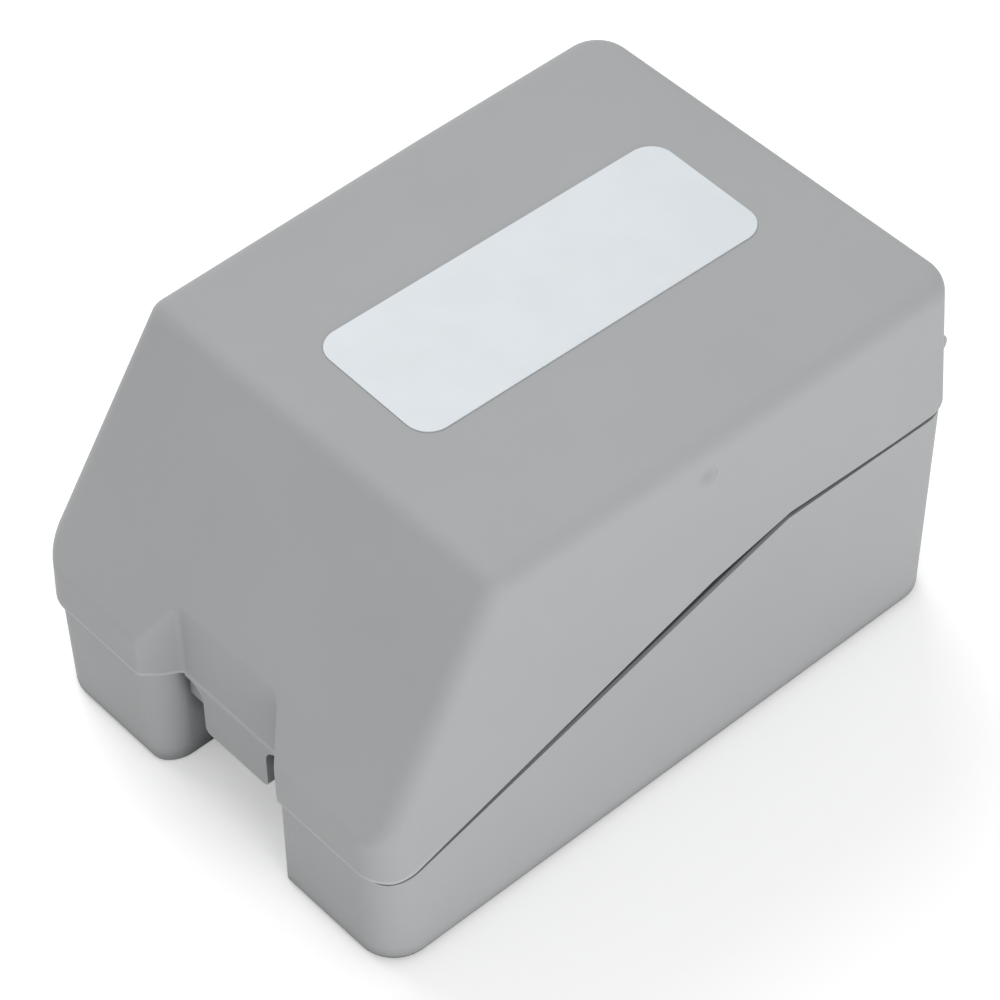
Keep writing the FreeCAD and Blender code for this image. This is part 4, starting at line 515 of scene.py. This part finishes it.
# the base's rim, in millimetres: its heights, and where its slope and its rear run start and
# end along the case
RIM_FRONT, RIM_BACK = 22.6, 46.3
RIM_SLOPE_START, RIM_SLOPE_END, RIM_REAR_END = -62.0, 24.4, 62.0
# the points from this far below to this far above the rim's line belong to its chamfer
RIM_BELOW, RIM_ABOVE = 0.8, 0.1
# the drop fades in over the front corners, from the middle of the case outwards
RIM_FADE_START, RIM_FADE_END = 36.5, 41.5
# how much of the chamfer's height goes, to leave a squarer edge
RIM_SQUARED = 0.7


def finish_all(pairs):
    """Give each node its finish."""
    for node, key in pairs:
        finish_node(node, key)


class CLEAVER_OT_shell(bpy.types.Operator):
    """Finish the case's shells, hinge and label, and ease the base's rim"""
    bl_idname = "cleaver.shell"
    bl_label = "Case shells"

    def execute(self, context):
        self.base(context.scene.cleaver_case)
        finish_all((("case_lid", "lid"), ("hinge_pin", "steel"), ("label_plate", "label")))
        return {"FINISHED"}

    def base(self, case):
        """The base with its side rims set lower and squarer, where the open seam shows."""
        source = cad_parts["case_base"]
        mesh = source.data.copy()
        mesh.name = "case_base_shell"
        mesh.transform(source.matrix_world)
        for vert in mesh.vertices:
            x, y, z = vert.co / MM
            ahead = ratio(y, RIM_SLOPE_END, RIM_SLOPE_START)
            behind = ratio(y, RIM_SLOPE_END, RIM_REAR_END)
            rim = RIM_BACK + (RIM_FRONT - RIM_BACK) * ahead
            above = z - rim
            if -RIM_BELOW < above < RIM_ABOVE:
                beside = ratio(abs(x), RIM_FADE_START, RIM_FADE_END)
                drop = (case.rim_drop * ahead + case.rim_drop_rear * behind) / MM * beside
                vert.co.z = (rim - drop + above * (1 - RIM_SQUARED * beside)) * MM
        mesh.materials.clear()
        mesh.materials.append(finishes()["shell"])
        obj = bpy.data.objects.new("case_base_shell", mesh)
        bpy.context.scene.collection.objects.link(obj)
        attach(obj, "case")
        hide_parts("case_base")


class CLEAVER_OT_body(bpy.types.Operator):
    """Finish the cradle and the cleaver's fixed pieces"""
    bl_idname = "cleaver.body"
    bl_label = "Cleaver body"

    def execute(self, context):
        finish_all((
            ("cradle", "tray"), ("cleaver_feet", "rubber"), ("bottom_plate", "plate"),
            ("cleaver_body", "body"), ("body_magnets", "magnet"), ("guide_rail", "rail"),
            ("lower_pad_holders", "steel"), ("lower_clamp_pads", "rubber"),
            ("fibre_guide", "alu"), ("flap_pin", "steel"), ("guide_flap", "arm"),
            ("scrap_bin", "bin"), ("bin_pin", "steel"), ("bin_cover", "cover"),
        ))
        return {"FINISHED"}


class CLEAVER_OT_carriage(bpy.types.Operator):
    """Finish the sliding blade carriage"""
    bl_idname = "cleaver.carriage"
    bl_label = "Blade carriage"

    def execute(self, context):
        finish_all((
            ("carriage", "alu"), ("carriage_knob", "bin"), ("blade_axle", "steel"),
            ("blade_wheel", "blade"),
        ))
        return {"FINISHED"}


class CLEAVER_OT_arm(bpy.types.Operator):
    """Finish the clamp arm and its anvil"""
    bl_idname = "cleaver.arm"
    bl_label = "Clamp arm"

    def execute(self, context):
        finish_all((
            ("clamp_arm", "arm"), ("arm_pin", "steel"), ("arm_magnets", "magnet"),
            ("upper_clamp_pads", "rubber"), ("anvil_lever", "lever"), ("anvil_tip", "rubber"),
            ("anvil_pin", "steel"),
        ))
        return {"FINISHED"}


# node, body, the way the head faces, and the form of the screw
SCREWS = (
    ("rail_screws", "case", UP, socket_screw),
    ("height_screw", "blade_carriage", UP, socket_screw),
    ("bottom_screws", "case", -UP, socket_screw),
    ("blade_lock_screw", "blade_carriage", Vector((0, 1, 0)), socket_screw),
    ("holder_screws", "case", UP, hexagon_screw),
    ("guide_screws", "case", UP, hexagon_screw),
)


class CLEAVER_OT_screws(bpy.types.Operator):
    """Cut the sockets and turn the heads of the screws"""
    bl_idname = "cleaver.screws"
    bl_label = "Screws"

    def execute(self, context):
        for node, body, axis, form in SCREWS:
            along = max(range(3), key=lambda i: abs(axis[i]))
            work = bmesh.new()
            for low, high in solids_of(node):
                seat = (low + high) / 2
                seat[along] = low[along] if axis[along] > 0 else high[along]
                form(work, seat, axis, (high.x - low.x) / 2, high[along] - low[along])
            place_piece(node + "_detail", work, "screw", body, (node,))
        return {"FINISHED"}


class CLEAVER_OT_spring(bpy.types.Operator):
    """Wind the torsion spring on the arm pin"""
    bl_idname = "cleaver.spring"
    bl_label = "Arm spring"

    def execute(self, context):
        wire = context.scene.cleaver_case.spring_wire / MM
        low, high = (Vector(corner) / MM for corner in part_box("arm_spring"))
        middle = (low + high) / 2
        radius = (high.x - low.x) / 2 - wire * 0.6
        span = high.y - low.y - wire * 1.1
        # the coils lie 8 per cent of the wire apart, and the last one ends a quarter turn on
        turns = int(span / (wire * 1.08)) + 0.25
        steps = int(turns * 28)
        points = []
        for i in range(steps + 1):
            turn = math.tau * turns * i / steps
            points.append(Vector((
                middle.x + radius * math.sin(turn), low.y + wire * 0.55 + span * i / steps,
                middle.z - radius * math.cos(turn))))
        # each end of the wire leaves the coil straight for a short leg
        for end, beside in ((0, 1), (-1, -2)):
            leg = (points[end] - points[beside]).normalized() * radius * 0.5
            points.insert(0 if end == 0 else len(points), points[end] + leg)
        work = bmesh.new()
        tube(work, points, wire / 2)
        place_piece("arm_spring_coil", work, "wire", "case", ("arm_spring",))
        return {"FINISHED"}


class CLEAVER_OT_wheel_marks(bpy.types.Operator):
    """Number the positions of the blade wheel"""
    bl_idname = "cleaver.wheel_marks"
    bl_label = "Blade wheel marks"

    def execute(self, context):
        low, high = (Vector(corner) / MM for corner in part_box("blade_wheel"))
        middle = (low + high) / 2
        radius = (high.x - low.x) / 2
        count = context.scene.cleaver_case.wheel_positions
        work = bmesh.new()
        for number in range(count):
            spin = Matrix.Rotation(math.tau * number / count, 4, "Y")
            # a figure is 0.02 mm thick and its middle lies 0.005 mm outside the wheel's face
            for side, face in ((-1, low.y - 0.005), (1, high.y + 0.005)):
                seat = Matrix.Translation((middle.x, face, middle.z)) @ spin
                upright = Matrix.Rotation(math.radians(90), 4, "X")
                if side > 0:
                    upright = Matrix.Rotation(math.pi, 4, "Z") @ upright
                lift = Matrix.Translation((0, 0, radius * 0.8))
                figure(work, str(number + 1), radius * 0.16, seat @ lift @ upright)
        place_piece("blade_wheel_numbers", work, "ink", "wheel")
        return {"FINISHED"}


class CLEAVER_OT_knob_grip(bpy.types.Operator):
    """Ribs across the face of the carriage knob"""
    bl_idname = "cleaver.knob_grip"
    bl_label = "Knob grip"

    def execute(self, context):
        low, high = (Vector(corner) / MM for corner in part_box("carriage_knob"))
        # millimetres: the depth of the knob's waist, the flat land beyond it, how far the ribs
        # stay from the knob's ends, the first short step along a rib, and a rib's radius
        waist, land, inset, lead, rib = 1.2, 1.5, 1.6, 0.4, 0.34
        half = (high.z - low.z) / 2
        ends = (low.y + inset, low.y + inset + lead, high.y - inset - lead, high.y - inset)
        work = bmesh.new()
        for level in (-3.0, -1.8, -0.6, 0.6, 1.8, 3.0):
            x = low.x + waist * (1 - abs(level) / (half - land)) + 0.05
            z = (low.z + high.z) / 2 + level
            tube(work, [Vector((x, y, z)) for y in ends], rib)
        place_piece("carriage_knob_grip", work, "bin", "blade_carriage")
        return {"FINISHED"}


class CLEAVER_OT_guide_scale(bpy.types.Operator):
    """Engrave a millimetre scale beside the fibre groove"""
    bl_idname = "cleaver.guide_scale"
    bl_label = "Guide scale"

    def execute(self, context):
        low, high = (Vector(corner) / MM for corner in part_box("fibre_guide"))
        blade = sum((Vector(corner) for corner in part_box("blade_wheel")), Vector()) / MM / 2
        pads = sum((Vector(corner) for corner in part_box("lower_clamp_pads")), Vector()) / MM / 2
        # the guide's top face lies 1.2 mm above the seats of its screws
        top = Vector(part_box("guide_screws")[0]).z / MM + 1.2
        # a mark each millimetre, 18 to 36 from the blade, longer at every fifth, clear of the
        # guide's ends
        margin, half_width, short, long = 0.8, 0.09, 1.4, 2.4
        marks_x, figures_x = pads.x + 1.6, pads.x + 5.4
        work = bmesh.new()
        for step in range(18, 37):
            y = blade.y + step
            if not low.y + margin < y < high.y - margin:
                continue
            length = long if step % 5 == 0 else short
            slab(work, (marks_x, y - half_width, top - 0.02),
                 (marks_x + length, y + half_width, top + 0.015))
            if step % 5 == 0:
                turn = Matrix.Rotation(math.radians(90), 4, "Z")
                figure(work, str(step), 1.6,
                       Matrix.Translation((figures_x, y, top + 0.005)) @ turn)
        place_piece("fibre_guide_scale", work, "ink", "case")
        return {"FINISHED"}


# the camera: its place, its three axes, and the shift of its lens
CAMERA_PLACE = Vector((341.8, -299.2, 523.0)) * MM
CAMERA_RIGHT = Vector((0.6688, 0.7433, -0.0129))
CAMERA_UP = Vector((-0.5367, 0.4948, 0.6836))
CAMERA_BACK = Vector((0.5145, -0.4503, 0.7299))
SHIFT = (0.0025, -0.0212)
# the wide light shines this way; the softbox stands here, in metres, and aims at the part
KEY_DIRECTION = Vector((0.73, -0.15, -0.667))
KEY_SPREAD = 50
SIDE_PLACE, SIDE_AIM, SIDE_SIZE = Vector((1.2, -0.18, 0.4)), Vector((0, 0, 0.04)), 0.8
# the floor lies this far below the part, in metres, and gives the eye this much extra light
FLOOR_DROP, FLOOR_LIFT = 0.0002, 0.3


def add_object(name, data):
    """Put one more object into the scene."""
    obj = bpy.data.objects.new(name, data)
    bpy.context.scene.collection.objects.link(obj)
    return obj


class CLEAVER_OT_stage(bpy.types.Operator):
    """Set up the floor, the lights and the camera"""
    bl_idname = "cleaver.stage"
    bl_label = "Stage"

    def execute(self, context):
        case = context.scene.cleaver_case
        self.floor()
        self.sky(case)
        self.key_light(case.key_level)
        self.side_light(case.side_power)
        self.camera(case)
        context.scene.view_settings.view_transform = "Standard"
        return {"FINISHED"}

    def floor(self):
        """White paper under the part, which keeps the part's shadow."""
        mesh = bpy.data.meshes.new("floor")
        work = bmesh.new()
        bmesh.ops.create_grid(work, x_segments=1, y_segments=1, size=6)
        work.to_mesh(mesh)
        work.free()
        obj = add_object("floor", mesh)
        obj.location.z = -FLOOR_DROP
        material, tree, shader = new_material("floor_white_paper", "#F4F4F4", 0.9)
        # paper scatters evenly; a little light for the eye alone lifts the open floor to white,
        # so that the shadow of the object stays on it
        paths = add_node(tree, "ShaderNodeLightPath")
        rays = paths.outputs
        direct = calculate(tree, "MAXIMUM", rays["Is Camera Ray"], rays["Is Transmission Ray"])
        seen = calculate(tree, "MAXIMUM", direct, rays["Is Glossy Ray"])
        lift = calculate(tree, "MULTIPLY", seen, FLOOR_LIFT)
        tree.links.new(lift, shader.inputs["Emission Strength"])
        shader.inputs["Emission Color"].default_value = WHITE
        shader.inputs["Specular IOR Level"].default_value = 0.0
        mesh.materials.append(material)

    def sky(self, case):
        """Even light from all round, which the camera sees as plain white."""
        world = bpy.data.worlds.new("studio")
        bpy.context.scene.world = world
        world.use_nodes = True
        tree = world.node_tree
        light = tree.nodes["Background"]
        light.inputs["Color"].default_value = WHITE
        light.inputs["Strength"].default_value = case.sky_level
        seen = add_node(tree, "ShaderNodeBackground", Strength=1.0, Color=WHITE)
        paths = add_node(tree, "ShaderNodeLightPath")
        mix = add_node(tree, "ShaderNodeMixShader", links={"Fac": paths.outputs["Is Camera Ray"]})
        tree.links.new(light.outputs[0], mix.inputs[1])
        tree.links.new(seen.outputs[0], mix.inputs[2])
        tree.links.new(mix.outputs[0], tree.nodes["World Output"].inputs["Surface"])

    def key_light(self, level):
        """A wide light high over the left side, the same all over the floor."""
        data = bpy.data.lights.new("key_light", "SUN")
        data.energy = level
        data.angle = math.radians(KEY_SPREAD)
        obj = add_object("key_light", data)
        obj.rotation_euler = KEY_DIRECTION.to_track_quat("-Z", "Y").to_euler()

    def side_light(self, power):
        """A softbox that stands low on the right."""
        data = bpy.data.lights.new("side_light", "AREA")
        data.shape = "DISK"
        data.size = SIDE_SIZE
        data.energy = power
        obj = add_object("side_light", data)
        obj.location = SIDE_PLACE
        obj.rotation_euler = (SIDE_AIM - SIDE_PLACE).to_track_quat("-Z", "Y").to_euler()

    def camera(self, case):
        """The camera, turned by its axes."""
        data = bpy.data.cameras.new("camera")
        data.sensor_width = 36
        data.lens = case.focal_length
        data.shift_x, data.shift_y = SHIFT
        data.clip_end = 10
        obj = add_object("camera", data)
        turn = Matrix((CAMERA_RIGHT, CAMERA_UP, CAMERA_BACK)).transposed()
        obj.matrix_world = Matrix.Translation(CAMERA_PLACE) @ turn.to_4x4()
        bpy.context.scene.camera = obj


class CLEAVER_PT_panel(bpy.types.Panel):
    """Lists the steps that finish the part"""
    bl_idname = "CLEAVER_PT_panel"
    bl_label = "Cleaver Case"
    bl_space_type = "VIEW_3D"
    bl_region_type = "UI"
    bl_category = "Cleaver Case"

    def draw(self, context):
        case = context.scene.cleaver_case
        for name in CleaverCaseSettings.__annotations__:
            self.layout.prop(case, name)
        for step in STEPS:
            self.layout.operator(step.bl_idname)


STEPS = (
    CLEAVER_OT_shell, CLEAVER_OT_body, CLEAVER_OT_carriage, CLEAVER_OT_arm, CLEAVER_OT_screws,
    CLEAVER_OT_spring, CLEAVER_OT_wheel_marks, CLEAVER_OT_knob_grip, CLEAVER_OT_guide_scale,
    CLEAVER_OT_stage,
)
CLASSES = (CleaverCaseSettings,) + STEPS + (CLEAVER_PT_panel,)


def register():
    for cls in CLASSES:
        bpy.utils.register_class(cls)
    bpy.types.Scene.cleaver_case = bpy.props.PointerProperty(type=CleaverCaseSettings)


def unregister():
    del bpy.types.Scene.cleaver_case
    for cls in reversed(CLASSES):
        bpy.utils.unregister_class(cls)


def main():
    register()
    for step in STEPS:
        group, name = step.bl_idname.split(".")
        getattr(getattr(bpy.ops, group), name)()


if __name__ == "__main__":
    main()
